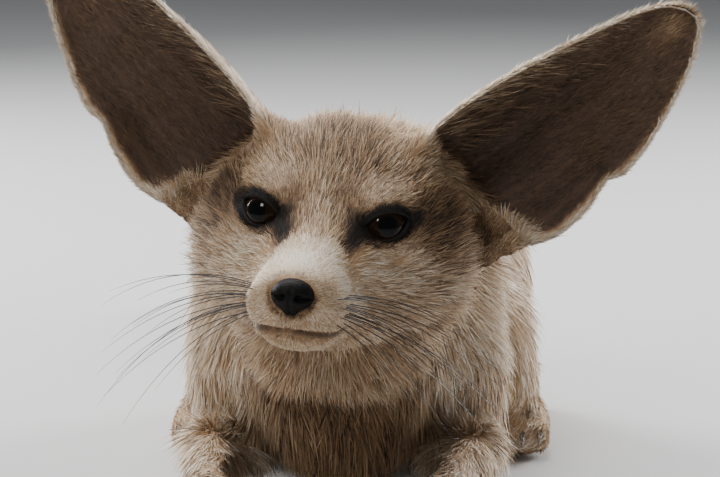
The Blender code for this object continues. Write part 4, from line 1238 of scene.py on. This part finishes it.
def makeWhiskers():
    tree = BVHTree.FromPolygons(points.tolist(), triangles.tolist())
    steps, sides = 14, 5
    allPoints, allFaces = [], []
    grid = gridFaces(steps, sides, True)
    for side in (1, -1):
        for level, (height, number) in enumerate(whiskerSet["rows"]):
            for k in range(number):
                back = k / max(number - 1, 1)
                start = outOf(headFrame, [(side * 40, -41 + 11 * back + 0.8 * level, height + 0.8 * back)])[0]
                inward = swung(headFrame, [(-side, 0, 0)])[0]
                hit = tree.ray_cast(Vector(start), Vector(inward))[0]
                if hit is None:
                    continue
                low, high = whiskerSet["length"]
                length = (low + (high - low) * (0.25 + 0.75 * back)) * (0.85 + 0.3 * chance.random())
                aim = np.array((side * 1.0, -0.22 + 0.62 * back, 0.16 - 0.17 * level + 0.05 * chance.standard_normal()))
                aim = unit(swung(headFrame, [aim])[0])
                t = np.linspace(0, 1, steps)[:, None]
                bend = np.array((-side * 0.10, 0.32, -1.0)) * whiskerSet["droop"] * (0.8 + 0.4 * chance.random())
                line = np.array(hit) + length * (aim * (t - 0.03) + bend * t * t)
                along = unit(np.gradient(line, axis=0))
                one = unit(np.cross(along, (0, 0, 1.0)))
                two = np.cross(one, along)
                angle = np.linspace(0, 2 * np.pi, sides, endpoint=False)
                ring = np.cos(angle)[None, :, None] * one[:, None] + np.sin(angle)[None, :, None] * two[:, None]
                radius = whiskerSet["thick"] * (1 - t[:, 0]) ** 0.7 + 0.03
                allFaces.append(grid + len(allPoints) * steps * sides)
                allPoints.append((line[:, None] + ring * radius[:, None, None]).reshape(-1, 3))
    whiskers = meshFrom("whiskers", np.concatenate(allPoints), np.concatenate(allFaces))
    whiskers.data.materials.append(whiskerFinish())
    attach(whiskers, "root")


makeWhiskers()
print("whiskers done")


# floor, light and camera
def flatFinish(name, colour, rough):
    finish = Finish(name, Roughness=rough)
    cloudy = finish.noise(3.0, 2.0)
    return finish.feed(Base_Color=finish.mix((*[c * 0.97 for c in colour], 1), (*colour, 1), cloudy))


studio = {
    "floor": (0.55, 0.55, 0.55), "sky": (0.42, 0.43, 0.45), "skyStrength": 0.40,
    "lights": {  # place, width, height, watts, aimed at the head
        "top": ((-0.2, 0.25, 1.1), 0.9, 0.9, 19.0),
        "front": ((-0.55, -1.0, 0.8), 0.24, 0.24, 5.0),
        "rimLeft": ((0.8, 0.75, 0.5), 0.5, 0.6, 19.0),
        "rimRight": ((-0.8, 0.70, 0.55), 0.5, 0.6, 19.0),
    },
}
cameraSet = {"azimuth": 4.8, "elevation": 8.0, "distance": 1.2, "across": 0.21818, "shift": (34 / 720, -19.5 / 720)}


def stageScene():
    span = 12000.0
    floor = meshFrom("floor", [(-span, -span, 0), (span, -span, 0), (span, span, 0), (-span, span, 0)], [(0, 1, 2, 3)], False)
    floor.data.materials.append(flatFinish("floor", studio["floor"], 0.8))
    world = bpy.data.worlds.new("studio")
    world.use_nodes = True
    sky = world.node_tree.nodes["Background"]
    sky.inputs["Color"].default_value = (*studio["sky"], 1)
    sky.inputs["Strength"].default_value = studio["skyStrength"]
    scene = bpy.context.scene
    scene.world = world
    aim = eyeMiddle * mm
    for name, (place, width, height, watts) in studio["lights"].items():
        lamp = bpy.data.lights.new(name, "AREA")
        lamp.shape, lamp.size, lamp.size_y, lamp.energy = "RECTANGLE", width, height, watts
        holder = bpy.data.objects.new(name, lamp)
        scene.collection.objects.link(holder)
        holder.location = place
        holder.rotation_euler = (aim - Vector(place)).to_track_quat("-Z", "Y").to_euler()
    azimuth, elevation = math.radians(cameraSet["azimuth"]), math.radians(cameraSet["elevation"])
    back = Vector((math.sin(azimuth) * math.cos(elevation), -math.cos(azimuth) * math.cos(elevation), math.sin(elevation)))
    lens = bpy.data.cameras.new("camera")
    camera = bpy.data.objects.new("camera", lens)
    scene.collection.objects.link(camera)
    camera.location = aim + back * cameraSet["distance"]
    camera.rotation_euler = (-back).to_track_quat("-Z", "Y").to_euler()
    lens.sensor_width = 36
    lens.lens = 36 * cameraSet["distance"] / cameraSet["across"]
    lens.shift_x, lens.shift_y = cameraSet["shift"]
    lens.clip_start = 0.01
    scene.camera = camera


stageScene()
